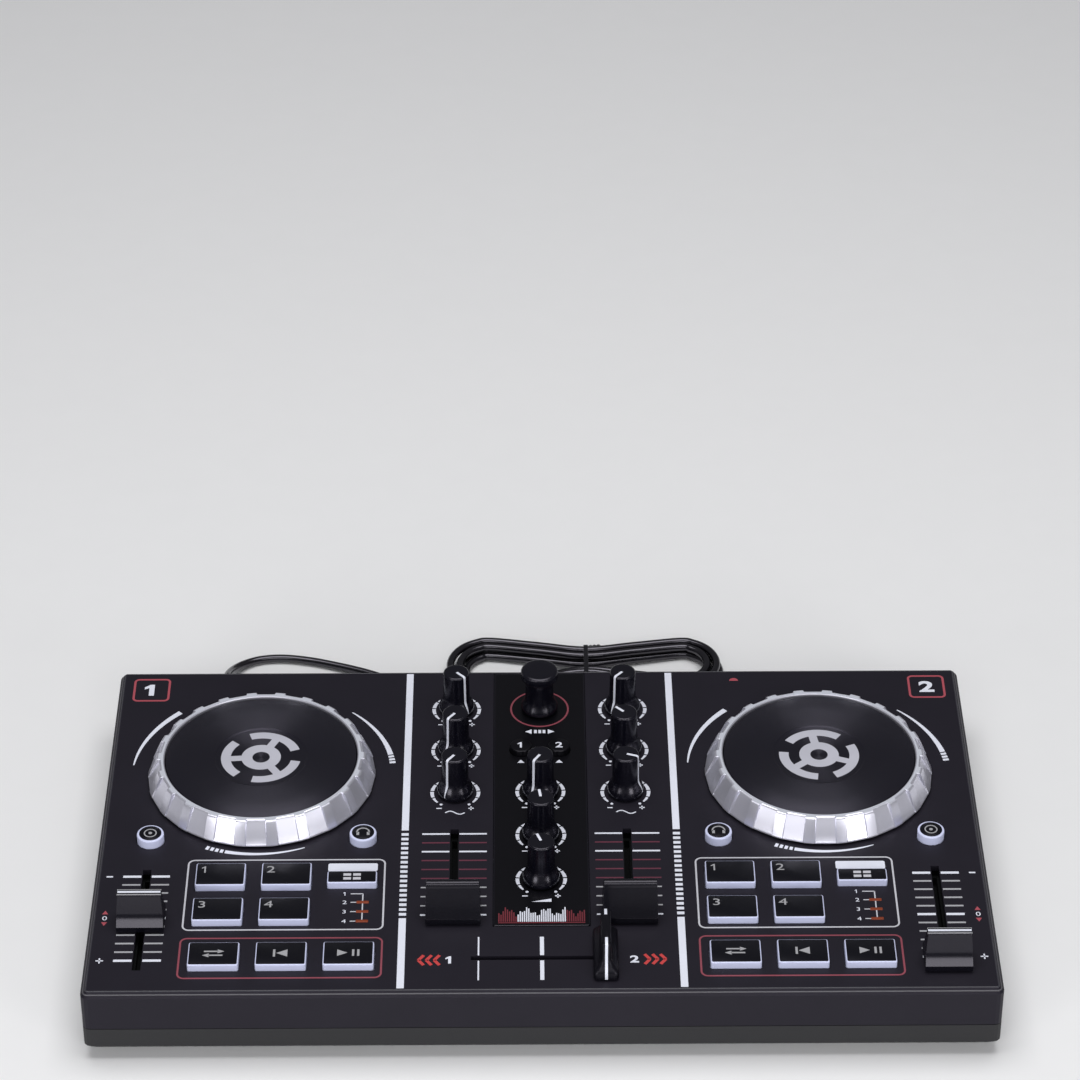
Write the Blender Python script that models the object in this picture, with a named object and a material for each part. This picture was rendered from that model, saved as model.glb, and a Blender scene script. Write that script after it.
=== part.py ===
"""A two-deck DJ controller with its USB lead, as separate solids in metres, +Z up.

The origin is on the desk, under the middle of the body. The player stands at -Y.
Body, controls and lead are worked out from the driving dimensions below.
"""

import math

import bmesh
import bpy

# Driving dimensions: fits and walls
CLEARANCE = 0.0003
WALL = 0.0025

# Driving dimensions: body, from the desk upwards
FOOT_HEIGHT = 0.0030
FOOT_RADIUS = 0.0070
FOOT_INSET = 0.0220
CASE_HEIGHT = 0.0127
CASE_DRAFT = 0.0040
COVER_HEIGHT = 0.0177
CORNER_RADIUS = 0.0030
EDGE_CHAMFER = 0.0022
TONGUE_HEIGHT = 0.0020
TONGUE_WALL = 0.0015
POST_RADIUS = 0.0040
SCREW_RADIUS = 0.0022
FACEPLATE_THICKNESS = 0.0008
FACEPLATE_RISE = 0.0003
FACEPLATE_WIDTH = 0.0385

# Driving dimensions: circuit board and the electrical parts soldered to it
BOARD_THICKNESS = 0.0016
BOARD_EDGE_GAP = 0.0030
POT_SIDE = 0.0100
POT_HEIGHT = 0.0070
POT_HEADROOM = 0.0029
SHAFT_ENGAGE = 0.0041
SWITCH_SIDE = 0.0060
SWITCH_HEIGHT = 0.0043
SLIDE_POT_WIDTH = 0.0090
SLIDE_POT_END = 0.0070
JACK_WIDTH = 0.0090
JACK_DEPTH = 0.0120
JACK_NOSE_RADIUS = 0.0029
JACK_BORE_RADIUS = 0.0018
JACK_SPACING = 0.0200
JACK_X = 0.0900

# Driving dimensions: keys that are pressed
PAD_WIDTH = 0.0200
PAD_DEPTH = 0.0137
PAD_GAP_X = 0.0065
PAD_GAP_Y = 0.00778
MODE_KEY_DEPTH = 0.0074
PAD_RISE = 0.0030
PAD_CORNER = 0.0008
KEY_BEVEL = 0.0004
KEY_FLANGE = 0.0010
KEY_STEM = 0.0030
PRESS_TRAVEL = 0.0012
ROUND_KEY_RADIUS = 0.0055
ROUND_KEY_RISE = 0.0036
LOAD_KEY_RADIUS = 0.0045
LOAD_KEY_INSET = 0.01125

# Driving dimensions: jog wheels
JOG_RADIUS = 0.0473
JOG_LIFT = 0.0010
JOG_HEIGHT = 0.0112
JOG_PLATE_RADIUS = 0.0397
JOG_PLATE_THICKNESS = 0.0024
JOG_PLATE_SINK = 0.0006
JOG_RIM_WIDTH = 0.0030
JOG_LEDGE = 0.0012
JOG_SKIRT_WALL = 0.0020
JOG_FACETS = 22
JOG_NARROW_FACET_DEG = 6.4
HUB_RADIUS = 0.0080
HUB_DROP = 0.0040
SPINDLE_RADIUS = 0.0030
SPINDLE_BASE_RADIUS = 0.0060
SPINDLE_BASE_HEIGHT = 0.0020

# Driving dimensions: turning knobs
KNOB_HEIGHT = 0.0204
KNOB_LIFT = 0.0008
KNOB_TOP_RADIUS = 0.0053
KNOB_WAIST_RADIUS = 0.0056
KNOB_WAIST_HEIGHT = 0.0084
KNOB_SKIRT_RADIUS = 0.0074
KNOB_SKIRT_HEIGHT = 0.0034
KNOB_EDGE = 0.0008
SHAFT_RADIUS = 0.0030
SHAFT_HOLE_GAP = 0.0006
BROWSE_HEIGHT = 0.0214
BROWSE_CAP_RADIUS = 0.0080
BROWSE_CAP_HEIGHT = 0.0042
BROWSE_NECK_RADIUS = 0.0060
BROWSE_NECK_HEIGHT = 0.0080
BROWSE_SKIRT_RADIUS = 0.0078
BROWSE_SKIRT_HEIGHT = 0.0031
BROWSE_PUSH_TRAVEL = 0.0005

# Driving dimensions: sliding faders
FADER_LIFT = 0.0010
FADER_SLOT_WIDTH = 0.0034
LEVER_ROOT = 0.0030
FADER_SLOT_END = 0.0015
LEVER_THICKNESS = 0.0016
LEVER_LENGTH = 0.0030
LEVER_ENGAGE = 0.0035
LINE_TRAVEL = 0.0505
CAP_CREST = 0.0040
CAP_LIP = 0.0024
CAP_TAPER = 0.0008
LINE_CAP = (0.0220, 0.0140, 0.0168)
LINE_CAP_HOLLOW = 0.0004
PITCH_TRAVEL = 0.0550
PITCH_CAP = (0.0186, 0.0140, 0.0150)
PITCH_CAP_HOLLOW = 0.0012
PITCH_LEFT_OFFSET = -0.0020
CROSS_TRAVEL = 0.0500
CROSS_CAP = (0.0100, 0.0284, 0.0154)
CROSS_BLADE = (0.0040, 0.0214)
CROSS_SHOULDER = (0.0042, 0.0232)
CROSS_SHOULDER_HEIGHT = 0.0070
CROSS_FOOT_HEIGHT = 0.0021
CROSS_CORNER = 0.0011
CROSS_SLOT_WIDTH = 0.0022

# Driving dimensions: layout of the panel, across
MIXER_HALF = 0.0552
PAD_MARGIN = 0.0108
PITCH_GAP = 0.0200
PITCH_MARGIN = 0.0210
EQ_X = 0.0352
ROUND_KEY_GAP = 0.0068
ROUND_KEY_ANGLE_DEG = 43.4

# Driving dimensions: layout of the panel, front to back
FRONT_MARGIN = 0.01375
TRANSPORT_GAP = 0.01315
JOG_GAP = 0.01192
BACK_MARGIN = 0.0257
CROSS_MARGIN = 0.0205
CROSS_TO_LINE = 0.0260
LINE_TO_KNOB = 0.0267
KNOB_PITCH = 0.0280
KNOB_MARGIN = 0.0283
FACEPLATE_MARGIN = 0.0282
FACEPLATE_BACK_MARGIN = 0.0032
MODE_KEY_SHIFT = -0.0021

# Driving dimensions: USB lead, tied in a hank behind the body
CORD_DIAMETER = 0.0034
GLAND_INSET = 0.0430
GLAND_LENGTH = 0.0220
GLAND_ROOT_RADIUS = 0.0036
GLAND_TIP_RADIUS = 0.0026
GLAND_COLLAR_RADIUS = 0.0046
GLAND_COLLAR = 0.0016
HANK_X = 0.0210
HANK_BEHIND = 0.0400
HANK_RUN = 0.0840
HANK_FOLD_DIAMETERS = 3
HANK_SIDE_GAP = 0.0009
HANK_LAYER_GAP = 0.0007
HANK_WAIST_GAP = 0.0010
HANK_TURNS_IN = 2
TIE_WIDTH = 0.0028
TIE_THICKNESS = 0.0008
TIE_SLACK = 0.0007
PLUG_LENGTH = 0.0280
PLUG_WIDTH = 0.0158
PLUG_THICKNESS = 0.0080
PLUG_CORNER = 0.0016
PLUG_NECK = (0.0095, 0.0048)
PLUG_NECK_LENGTH = 0.0084
SHELL_LENGTH = 0.0120
SHELL_WIDTH = 0.0120
SHELL_THICKNESS = 0.0045
SHELL_CORNER = 0.0005
HANK_TAIL = 0.0300

# Facet counts
ROUND_STEPS = 14
WIDE_STEPS = 28
HOLE_STEPS = 10
CORNER_STEPS = 3
KEY_CORNER_STEPS = 1
HOLLOW_STEPS = 4

# Levels above the desk that follow from the driving dimensions
CASE_BOTTOM = FOOT_HEIGHT + CLEARANCE
CASE_FLOOR = CASE_BOTTOM + WALL
SPLIT = CASE_BOTTOM + CASE_HEIGHT
COVER_BOTTOM = SPLIT + CLEARANCE
PANEL = COVER_BOTTOM + COVER_HEIGHT
UNDERSIDE = PANEL - WALL
BOARD_TOP = UNDERSIDE - POT_HEADROOM - POT_HEIGHT
BOARD_BOTTOM = BOARD_TOP - BOARD_THICKNESS
FACEPLATE_TOP = PANEL + FACEPLATE_RISE
RECESS_FLOOR = FACEPLATE_TOP - FACEPLATE_THICKNESS - CLEARANCE
SWITCH_TOP = BOARD_TOP + SWITCH_HEIGHT
POT_TOP = BOARD_TOP + POT_HEIGHT
SHAFT_BOTTOM = POT_TOP - SHAFT_ENGAGE
LEVER_BOTTOM = POT_TOP - LEVER_ENGAGE

# Panel positions across that follow from the driving dimensions
PAD_PITCH_X = PAD_WIDTH + PAD_GAP_X
PAD_CENTRE_X = MIXER_HALF + PAD_MARGIN + PAD_WIDTH / 2 + PAD_PITCH_X
PITCH_X = PAD_CENTRE_X + PAD_PITCH_X + PAD_WIDTH / 2 + PITCH_GAP
HALF_WIDTH = PITCH_X + PITCH_MARGIN
ROUND_KEY_REACH = JOG_RADIUS + ROUND_KEY_GAP + ROUND_KEY_RADIUS
ROUND_KEY_DX = ROUND_KEY_REACH * math.cos(math.radians(ROUND_KEY_ANGLE_DEG))
ROUND_KEY_DY = ROUND_KEY_REACH * math.sin(math.radians(ROUND_KEY_ANGLE_DEG))
JOG_X = PITCH_X - ROUND_KEY_DX

# Panel positions front to back that follow from the driving dimensions
DECK_STACK = (
    FRONT_MARGIN + 3 * PAD_DEPTH + TRANSPORT_GAP + PAD_GAP_Y + JOG_GAP + 2 * JOG_RADIUS + BACK_MARGIN
)
MIXER_STACK = CROSS_MARGIN + CROSS_TO_LINE + LINE_TRAVEL + LINE_TO_KNOB + 2 * KNOB_PITCH + KNOB_MARGIN
HALF_DEPTH = max(DECK_STACK, MIXER_STACK) / 2
TRANSPORT_Y = -HALF_DEPTH + FRONT_MARGIN + PAD_DEPTH / 2
PAD_LOW_Y = TRANSPORT_Y + PAD_DEPTH + TRANSPORT_GAP
PAD_HIGH_Y = PAD_LOW_Y + PAD_DEPTH + PAD_GAP_Y
JOG_Y = PAD_HIGH_Y + PAD_DEPTH / 2 + JOG_GAP + JOG_RADIUS
CROSS_Y = -HALF_DEPTH + CROSS_MARGIN
LINE_LOW_Y = CROSS_Y + CROSS_TO_LINE
LINE_MID_Y = LINE_LOW_Y + LINE_TRAVEL / 2
KNOB_Y = LINE_LOW_Y + LINE_TRAVEL + LINE_TO_KNOB
PITCH_MID_Y = (TRANSPORT_Y + PAD_HIGH_Y) / 2
LOAD_Y = KNOB_Y + KNOB_PITCH
BROWSE_Y = KNOB_Y + 2 * KNOB_PITCH
FACEPLATE_FRONT = KNOB_Y - 2 * KNOB_PITCH - FACEPLATE_MARGIN
FACEPLATE_BACK = HALF_DEPTH - FACEPLATE_BACK_MARGIN

# Lead levels and places that follow from the driving dimensions
CORD_RADIUS = CORD_DIAMETER / 2
CORD_FLOOR = CORD_RADIUS + 2 * CLEARANCE
GLAND_X = GLAND_INSET - HALF_WIDTH
GLAND_Z = (CASE_FLOOR + SPLIT) / 2
GLAND_END_Y = HALF_DEPTH + GLAND_LENGTH
HANK_Y = HALF_DEPTH + HANK_BEHIND
HANK_FOLD_RADIUS = HANK_FOLD_DIAMETERS * CORD_DIAMETER
HANK_STEP = CORD_DIAMETER + HANK_SIDE_GAP
HANK_LAYER_STEP = CORD_DIAMETER + HANK_LAYER_GAP
HANK_WAIST_HALF = (CORD_DIAMETER + HANK_WAIST_GAP) / 2
HANK_OUTER_RADIUS = HANK_FOLD_RADIUS + HANK_TURNS_IN * HANK_STEP
HANK_DRAW = HANK_FOLD_RADIUS - HANK_WAIST_HALF
HANK_LIFT = TIE_THICKNESS + CLEARANCE
HANK_START = (HANK_X - HANK_RUN / 2, HANK_Y - HANK_OUTER_RADIUS, CORD_FLOOR)

# Colours as (red, green, blue), roughness and metallic value
FINISHES = {
    "panel_plastic": ((0.022, 0.022, 0.026), 0.45, 0.0),
    "gloss_black": ((0.008, 0.008, 0.009), 0.25, 0.0),
    "case_plastic": ((0.018, 0.018, 0.020), 0.60, 0.0),
    "circuit_board": ((0.020, 0.110, 0.050), 0.50, 0.0),
    "foot_rubber": ((0.015, 0.015, 0.015), 0.90, 0.0),
    "jog_silver": ((0.780, 0.780, 0.800), 0.30, 0.8),
    "jog_black": ((0.016, 0.016, 0.018), 0.40, 0.0),
    "steel": ((0.600, 0.600, 0.620), 0.35, 1.0),
    "knob_rubber": ((0.012, 0.012, 0.013), 0.65, 0.0),
    "fader_plastic": ((0.014, 0.014, 0.015), 0.40, 0.0),
    "pad_white": ((0.780, 0.790, 0.860), 0.45, 0.0),
    "jack_plastic": ((0.020, 0.020, 0.022), 0.50, 0.0),
    "cord_vinyl": ((0.012, 0.012, 0.013), 0.45, 0.0),
}


def clear_scene():
    for old in list(bpy.data.objects):
        bpy.data.objects.remove(old, do_unlink=True)


def finish_material(name):
    """The Principled BSDF material of one finish, made once."""
    material = bpy.data.materials.get(name)
    if material is None:
        colour, roughness, metallic = FINISHES[name]
        material = bpy.data.materials.new(name)
        material.use_nodes = True
        shader = material.node_tree.nodes["Principled BSDF"]
        shader.inputs["Base Color"].default_value = (*colour, 1.0)
        shader.inputs["Roughness"].default_value = roughness
        shader.inputs["Metallic"].default_value = metallic
    return material


def place(name, bm, finish, location=(0.0, 0.0, 0.0)):
    """Turns a bmesh into a named object of the controller, at its place."""
    bmesh.ops.recalc_face_normals(bm, faces=bm.faces)
    mesh = bpy.data.meshes.new(name)
    bm.to_mesh(mesh)
    bm.free()
    mesh.materials.append(finish_material(finish))
    mesh.shade_smooth()
    mesh.set_sharp_from_angle(angle=math.radians(32))
    obj = bpy.data.objects.new(name, mesh)
    bpy.context.scene.collection.objects.link(obj)
    obj.location = location
    obj.parent = bpy.data.objects["dj_controller"]
    return obj


def helper(name, bm):
    """An object that only cuts or joins: it is drawn as wire and isn't a piece."""
    obj = place(name, bm, "steel")
    obj.hide_render = True
    obj.display_type = "WIRE"
    return obj


def combine(target, tool, operation):
    modifier = target.modifiers.new(tool.name, "BOOLEAN")
    modifier.operation = operation
    modifier.solver = "EXACT"
    modifier.object = tool


def rounded_outline(half_x, half_y, radius, steps, centre=(0.0, 0.0)):
    """Points of a rounded rectangle, anticlockwise from above, with an arc at each corner."""
    points = []
    for quarter, (side_x, side_y) in enumerate(((1, 1), (-1, 1), (-1, -1), (1, -1))):
        for step in range(steps + 1):
            angle = math.radians(90 * (quarter + step / steps))
            x = side_x * (half_x - radius) + radius * math.cos(angle)
            y = side_y * (half_y - radius) + radius * math.sin(angle)
            points.append((centre[0] + x, centre[1] + y))
    return points


def circle_outline(radius, steps, centre=(0.0, 0.0)):
    turns = [2 * math.pi * step / steps for step in range(steps)]
    return [(centre[0] + radius * math.cos(t), centre[1] + radius * math.sin(t)) for t in turns]


def loft(bm, sections):
    """A closed body skinned over outlines of equal length, from the first cap to the last."""
    rings = [[bm.verts.new((x, y, z)) for x, y in outline] for outline, z in sections]
    for ring, following in zip(rings, rings[1:]):
        for i, j in zip(range(len(ring)), [*range(1, len(ring)), 0]):
            bm.faces.new((ring[i], ring[j], following[j], following[i]))
    bm.faces.new(rings[0])
    bm.faces.new(rings[-1])
    return bm


def hole(bm, radius, bottom, top, steps, centre):
    """A round cutter whose flats, not its corners, lie at the radius."""
    return post(bm, radius / math.cos(math.pi / steps), bottom, top, steps, centre)


def turned(bm, profile, steps):
    """A body turned about Z from (radius, height) points that start and end on the axis."""
    verts = [bm.verts.new((radius, 0.0, height)) for radius, height in profile]
    edges = [bm.edges.new(pair) for pair in zip(verts, verts[1:])]
    bmesh.ops.spin(
        bm,
        geom=verts + edges,
        cent=(0, 0, 0),
        axis=(0, 0, 1),
        angle=2 * math.pi,
        steps=steps,
        use_merge=True,
    )
    bmesh.ops.remove_doubles(bm, verts=bm.verts, dist=1e-7)
    return bm


def block(bm, low, high):
    """A box between two corners, added to a bmesh."""
    outline = [(low[0], low[1]), (high[0], low[1]), (high[0], high[1]), (low[0], high[1])]
    return loft(bm, [(outline, low[2]), (outline, high[2])])


def centred_block(bm, centre, half, bottom, top):
    """A box about a place on the panel, with its half sizes in X and Y."""
    low = (centre[0] - half[0], centre[1] - half[1], bottom)
    return block(bm, low, (centre[0] + half[0], centre[1] + half[1], top))


def post(bm, radius, bottom, top, steps, centre):
    outline = circle_outline(radius, steps, centre)
    return loft(bm, [(outline, bottom), (outline, top)])


def post_along_y(bm, radius, start, end, steps, x, z):
    """A round bar along Y, added to a bmesh."""
    rings = []
    for y in (start, end):
        rings.append([bm.verts.new((x + u, y, z + v)) for u, v in circle_outline(radius, steps)])
    for i, j in zip(range(steps), [*range(1, steps), 0]):
        bm.faces.new((rings[0][i], rings[0][j], rings[1][j], rings[1][i]))
    bm.faces.new(rings[0])
    bm.faces.new(rings[1])
    return bm


def sides():
    """Left and right, with the sign of X."""
    return (("left", -1), ("right", 1))


def body_outline(inset, draft=0.0):
    """The body's plan, set in by a wall or a chamfer."""
    radius = max(CORNER_RADIUS - inset - draft, CORNER_RADIUS / 4)
    shrink = inset + draft
    return rounded_outline(HALF_WIDTH - shrink, HALF_DEPTH - shrink, radius, CORNER_STEPS)


def rectangle_keys():
    """Name, centre and depth of each rectangular key: pads, pad mode, sync, cue and play."""
    keys = []
    for side, sign in sides():
        columns = [sign * PAD_CENTRE_X + step * PAD_PITCH_X for step in (-1, 0, 1)]
        for number in range(4):
            row = PAD_HIGH_Y if number < 2 else PAD_LOW_Y
            keys.append((f"pad_{side}_{number + 1}", columns[number % 2], row, PAD_DEPTH))
        keys.append((f"pad_mode_key_{side}", columns[2], PAD_HIGH_Y + MODE_KEY_SHIFT, MODE_KEY_DEPTH))
        for what, column in zip(("sync", "cue", "play"), columns):
            keys.append((f"{what}_key_{side}", column, TRANSPORT_Y, PAD_DEPTH))
    return keys


def round_keys():
    """Name, centre, radius, rise and finish of each round key."""
    keys = []
    for side, sign in sides():
        row = JOG_Y - ROUND_KEY_DY
        for what, step in (("scratch", 1), ("headphone", -1)):
            column = sign * (JOG_X + step * ROUND_KEY_DX)
            keys.append(
                (f"{what}_key_{side}", column, row, ROUND_KEY_RADIUS, ROUND_KEY_RISE, "pad_white")
            )
    for number, sign in ((1, -1), (2, 1)):
        column = sign * (FACEPLATE_WIDTH / 2 - LOAD_KEY_INSET)
        keys.append((f"load_key_{number}", column, LOAD_Y, LOAD_KEY_RADIUS, PAD_RISE, "knob_rubber"))
    return keys


def knobs():
    """Name and centre of each turning knob, the browse knob apart."""
    places = []
    for side, sign in sides():
        for band, step in (("treble", 2), ("mid", 1), ("bass", 0)):
            places.append((f"{band}_knob_{side}", sign * EQ_X, KNOB_Y + step * KNOB_PITCH))
    for step, what in enumerate(("master_gain", "cue_mix", "cue_gain")):
        places.append((f"{what}_knob", 0.0, KNOB_Y - step * KNOB_PITCH))
    return places


def faders():
    """Name, rest place, middle of travel, travel, axis, cap size and slot width of each fader."""
    places = []
    for side, sign in sides():
        offset = PITCH_LEFT_OFFSET if sign < 0 else -PITCH_TRAVEL / 2
        rest = (sign * PITCH_X, PITCH_MID_Y + offset)
        middle = (sign * PITCH_X, PITCH_MID_Y)
        places.append((f"pitch_fader_{side}", rest, middle, PITCH_TRAVEL, "Y", PITCH_CAP, FADER_SLOT_WIDTH))
    for side, sign in sides():
        rest = (sign * EQ_X, LINE_LOW_Y)
        middle = (sign * EQ_X, LINE_MID_Y)
        places.append((f"line_fader_{side}", rest, middle, LINE_TRAVEL, "Y", LINE_CAP, FADER_SLOT_WIDTH))
    rest = (CROSS_TRAVEL / 2, CROSS_Y)
    places.append(("crossfader", rest, (0.0, CROSS_Y), CROSS_TRAVEL, "X", CROSS_CAP, CROSS_SLOT_WIDTH))
    return places


def along(axis, length, width):
    """Half sizes in X and Y of something that is long in the given axis."""
    return (length / 2, width / 2) if axis == "X" else (width / 2, length / 2)


def jack_places():
    """Name and X of the two sockets in the rear wall."""
    return (
        ("main_output_jack", JACK_X - JACK_SPACING / 2),
        ("headphone_jack", JACK_X + JACK_SPACING / 2),
    )


def jack_height():
    return BOARD_TOP + POT_HEIGHT / 2


def post_places():
    """Where the case's posts hold the board: beside the mixer and near the corners."""
    across = HALF_WIDTH - 2 * FOOT_INSET
    deep = HALF_DEPTH - FOOT_INSET
    inner = MIXER_HALF
    return [(sx * x, sy * deep) for x in (inner, across) for sx in (-1, 1) for sy in (-1, 1)]


def make_cover():
    """The top shell: panel, chamfer and skirt, open below and pierced for every control."""
    rim = body_outline(0.0)
    inner = body_outline(WALL)
    shell = loft(
        bmesh.new(),
        [
            (body_outline(EDGE_CHAMFER), PANEL),
            (rim, PANEL - EDGE_CHAMFER),
            (rim, COVER_BOTTOM),
            (inner, COVER_BOTTOM),
            (inner, UNDERSIDE),
        ],
    )
    cover = place("top_cover", shell, "panel_plastic")
    recess = block(
        bmesh.new(),
        (-FACEPLATE_WIDTH / 2 - CLEARANCE, FACEPLATE_FRONT - CLEARANCE, RECESS_FLOOR),
        (FACEPLATE_WIDTH / 2 + CLEARANCE, FACEPLATE_BACK + CLEARANCE, PANEL + WALL),
    )
    combine(cover, helper("faceplate_recess", recess), "DIFFERENCE")
    combine(cover, helper("cover_openings", panel_openings()), "DIFFERENCE")


def panel_openings():
    """Cutter for all the openings of the panel and for the sockets in its rear skirt."""
    low, high = UNDERSIDE - WALL, PANEL + WALL
    bm = bmesh.new()
    for _, x, y, depth in rectangle_keys():
        half = (PAD_WIDTH / 2 + CLEARANCE, depth / 2 + CLEARANCE)
        outline = rounded_outline(*half, PAD_CORNER, KEY_CORNER_STEPS, (x, y))
        loft(bm, [(outline, low), (outline, high)])
    for _, x, y, radius, _, _ in round_keys():
        hole(bm, radius + CLEARANCE, low, high, ROUND_STEPS, (x, y))
    for _, x, y in knobs():
        hole(bm, SHAFT_RADIUS + SHAFT_HOLE_GAP, low, high, HOLE_STEPS, (x, y))
    hole(bm, SHAFT_RADIUS + SHAFT_HOLE_GAP, low, high, HOLE_STEPS, (0.0, BROWSE_Y))
    for _, sign in sides():
        hole(bm, HUB_RADIUS + SHAFT_HOLE_GAP, low, high, ROUND_STEPS, (sign * JOG_X, JOG_Y))
    for _, _, middle, travel, axis, _, width in faders():
        centred_block(bm, middle, along(axis, travel + LEVER_LENGTH + 2 * FADER_SLOT_END, width), low, high)
    for _, x in jack_places():
        wall_in, wall_out = HALF_DEPTH - 2 * WALL, HALF_DEPTH + WALL
        radius = JACK_NOSE_RADIUS + CLEARANCE
        post_along_y(bm, radius, wall_in, wall_out, ROUND_STEPS, x, jack_height())
    return bm


def make_faceplate():
    """The glossy plate let into the middle of the panel, under the knobs that it frames."""
    bottom = FACEPLATE_TOP - FACEPLATE_THICKNESS
    middle = (0.0, (FACEPLATE_FRONT + FACEPLATE_BACK) / 2)
    half = (FACEPLATE_WIDTH / 2, (FACEPLATE_BACK - FACEPLATE_FRONT) / 2)
    outline = rounded_outline(*half, PAD_CORNER, CORNER_STEPS, middle)
    slab = loft(bmesh.new(), [(outline, FACEPLATE_TOP), (outline, bottom)])
    plate = place("mixer_faceplate", slab, "gloss_black")
    holes = bmesh.new()
    low, high = bottom - WALL, FACEPLATE_TOP + WALL
    for _, x, y in knobs():
        if x == 0.0:
            hole(holes, SHAFT_RADIUS + SHAFT_HOLE_GAP, low, high, HOLE_STEPS, (x, y))
    hole(holes, SHAFT_RADIUS + SHAFT_HOLE_GAP, low, high, HOLE_STEPS, (0.0, BROWSE_Y))
    for name, x, y, radius, _, _ in round_keys():
        if name.startswith("load"):
            hole(holes, radius + CLEARANCE, low, high, ROUND_STEPS, (x, y))
    combine(plate, helper("faceplate_holes", holes), "DIFFERENCE")


def make_case():
    """The bottom tray: drafted walls, a tongue that locates the cover, and posts for the board."""
    outer = body_outline(0.0)
    tongue_out = body_outline(WALL + CLEARANCE)
    tongue_in = body_outline(WALL + CLEARANCE + TONGUE_WALL)
    tray = loft(
        bmesh.new(),
        [
            (body_outline(0.0, CASE_DRAFT), CASE_BOTTOM),
            (outer, CASE_BOTTOM + CASE_DRAFT),
            (outer, SPLIT),
            (tongue_out, SPLIT),
            (tongue_out, SPLIT + TONGUE_HEIGHT),
            (tongue_in, SPLIT + TONGUE_HEIGHT),
            (tongue_in, CASE_FLOOR),
        ],
    )
    case = place("bottom_case", tray, "case_plastic")
    posts, screws = bmesh.new(), bmesh.new()
    for centre in post_places():
        post(posts, POST_RADIUS, CASE_FLOOR - WALL / 2, BOARD_BOTTOM - CLEARANCE, HOLE_STEPS, centre)
        post(screws, SCREW_RADIUS, CASE_BOTTOM - WALL, CASE_FLOOR + WALL, HOLE_STEPS, centre)
    combine(case, helper("case_posts", posts), "UNION")
    post_along_y(
        screws,
        GLAND_ROOT_RADIUS + CLEARANCE,
        HALF_DEPTH - 3 * WALL,
        HALF_DEPTH + WALL,
        ROUND_STEPS,
        GLAND_X,
        GLAND_Z,
    )
    combine(case, helper("case_holes", screws), "DIFFERENCE")


def make_feet():
    for name, sx, sy in (
        ("foot_front_left", -1, -1),
        ("foot_front_right", 1, -1),
        ("foot_rear_left", -1, 1),
        ("foot_rear_right", 1, 1),
    ):
        rounding = FOOT_HEIGHT / 4
        profile = [
            (0.0, FOOT_HEIGHT),
            (FOOT_RADIUS, FOOT_HEIGHT),
            (FOOT_RADIUS, rounding),
            (FOOT_RADIUS - rounding, 0.0),
            (0.0, 0.0),
        ]
        centre = (sx * (HALF_WIDTH - FOOT_INSET), sy * (HALF_DEPTH - FOOT_INSET), 0.0)
        place(name, turned(bmesh.new(), profile, ROUND_STEPS), "foot_rubber", centre)


def make_board():
    """The circuit board with its soldered switches, potentiometers and slide potentiometers."""
    inset = WALL + CLEARANCE + TONGUE_WALL + BOARD_EDGE_GAP
    outline = body_outline(inset)
    board = place(
        "main_board",
        loft(bmesh.new(), [(outline, BOARD_TOP), (outline, BOARD_BOTTOM)]),
        "circuit_board",
    )
    foot = BOARD_TOP - BOARD_THICKNESS / 2
    parts, bores = bmesh.new(), bmesh.new()
    half = SWITCH_SIDE / 2
    for key in [*rectangle_keys(), *round_keys()]:
        centred_block(parts, key[1:3], (half, half), foot, SWITCH_TOP)
    half = POT_SIDE / 2
    bore = SHAFT_RADIUS + CLEARANCE
    for _, x, y in [*knobs(), ("browse", 0.0, BROWSE_Y)]:
        drop = BROWSE_PUSH_TRAVEL if y == BROWSE_Y and x == 0.0 else 0.0
        centred_block(parts, (x, y), (half, half), foot, POT_TOP)
        hole(bores, bore, SHAFT_BOTTOM - CLEARANCE - drop, POT_TOP + WALL, HOLE_STEPS, (x, y))
    for _, _, middle, travel, axis, _, _ in faders():
        sweep = travel + LEVER_LENGTH
        housing = along(axis, sweep + 2 * SLIDE_POT_END, SLIDE_POT_WIDTH)
        centred_block(parts, middle, housing, foot, POT_TOP)
        channel = along(axis, sweep + 2 * CLEARANCE, LEVER_THICKNESS + 2 * CLEARANCE)
        centred_block(bores, middle, channel, LEVER_BOTTOM - CLEARANCE, POT_TOP + WALL)
    for _, sign in sides():
        radius = SPINDLE_RADIUS + SHAFT_HOLE_GAP
        hole(bores, radius, BOARD_BOTTOM - WALL, BOARD_TOP + WALL, HOLE_STEPS, (sign * JOG_X, JOG_Y))
    combine(board, helper("soldered_parts", parts), "UNION")
    combine(board, helper("board_bores", bores), "DIFFERENCE")


def make_jacks():
    """The two 3.5 mm sockets, each a box on the board with a round nose in the rear wall."""
    front = HALF_DEPTH - WALL - CLEARANCE
    height = jack_height()
    for name, x in jack_places():
        low = (x - JACK_WIDTH / 2, front - JACK_DEPTH, BOARD_TOP + CLEARANCE)
        box = block(bmesh.new(), low, (x + JACK_WIDTH / 2, front, BOARD_TOP + POT_HEIGHT))
        jack = place(name, box, "jack_plastic")
        nose_end = HALF_DEPTH - CLEARANCE
        nose = post_along_y(bmesh.new(), JACK_NOSE_RADIUS, front - WALL, nose_end, ROUND_STEPS, x, height)
        combine(jack, helper(name + "_nose", nose), "UNION")
        bore_start = front - JACK_DEPTH + WALL
        bore = post_along_y(
            bmesh.new(), JACK_BORE_RADIUS, bore_start, HALF_DEPTH + WALL, ROUND_STEPS, x, height
        )
        combine(jack, helper(name + "_bore", bore), "DIFFERENCE")


def jog_angles():
    """Angles of the ring's edges: a wide and a narrow facet in turn."""
    pitch = 2 * math.pi / JOG_FACETS
    narrow = math.radians(JOG_NARROW_FACET_DEG)
    return [pitch * facet + side * narrow / 2 for facet in range(JOG_FACETS) for side in (-1, 1)]


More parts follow.
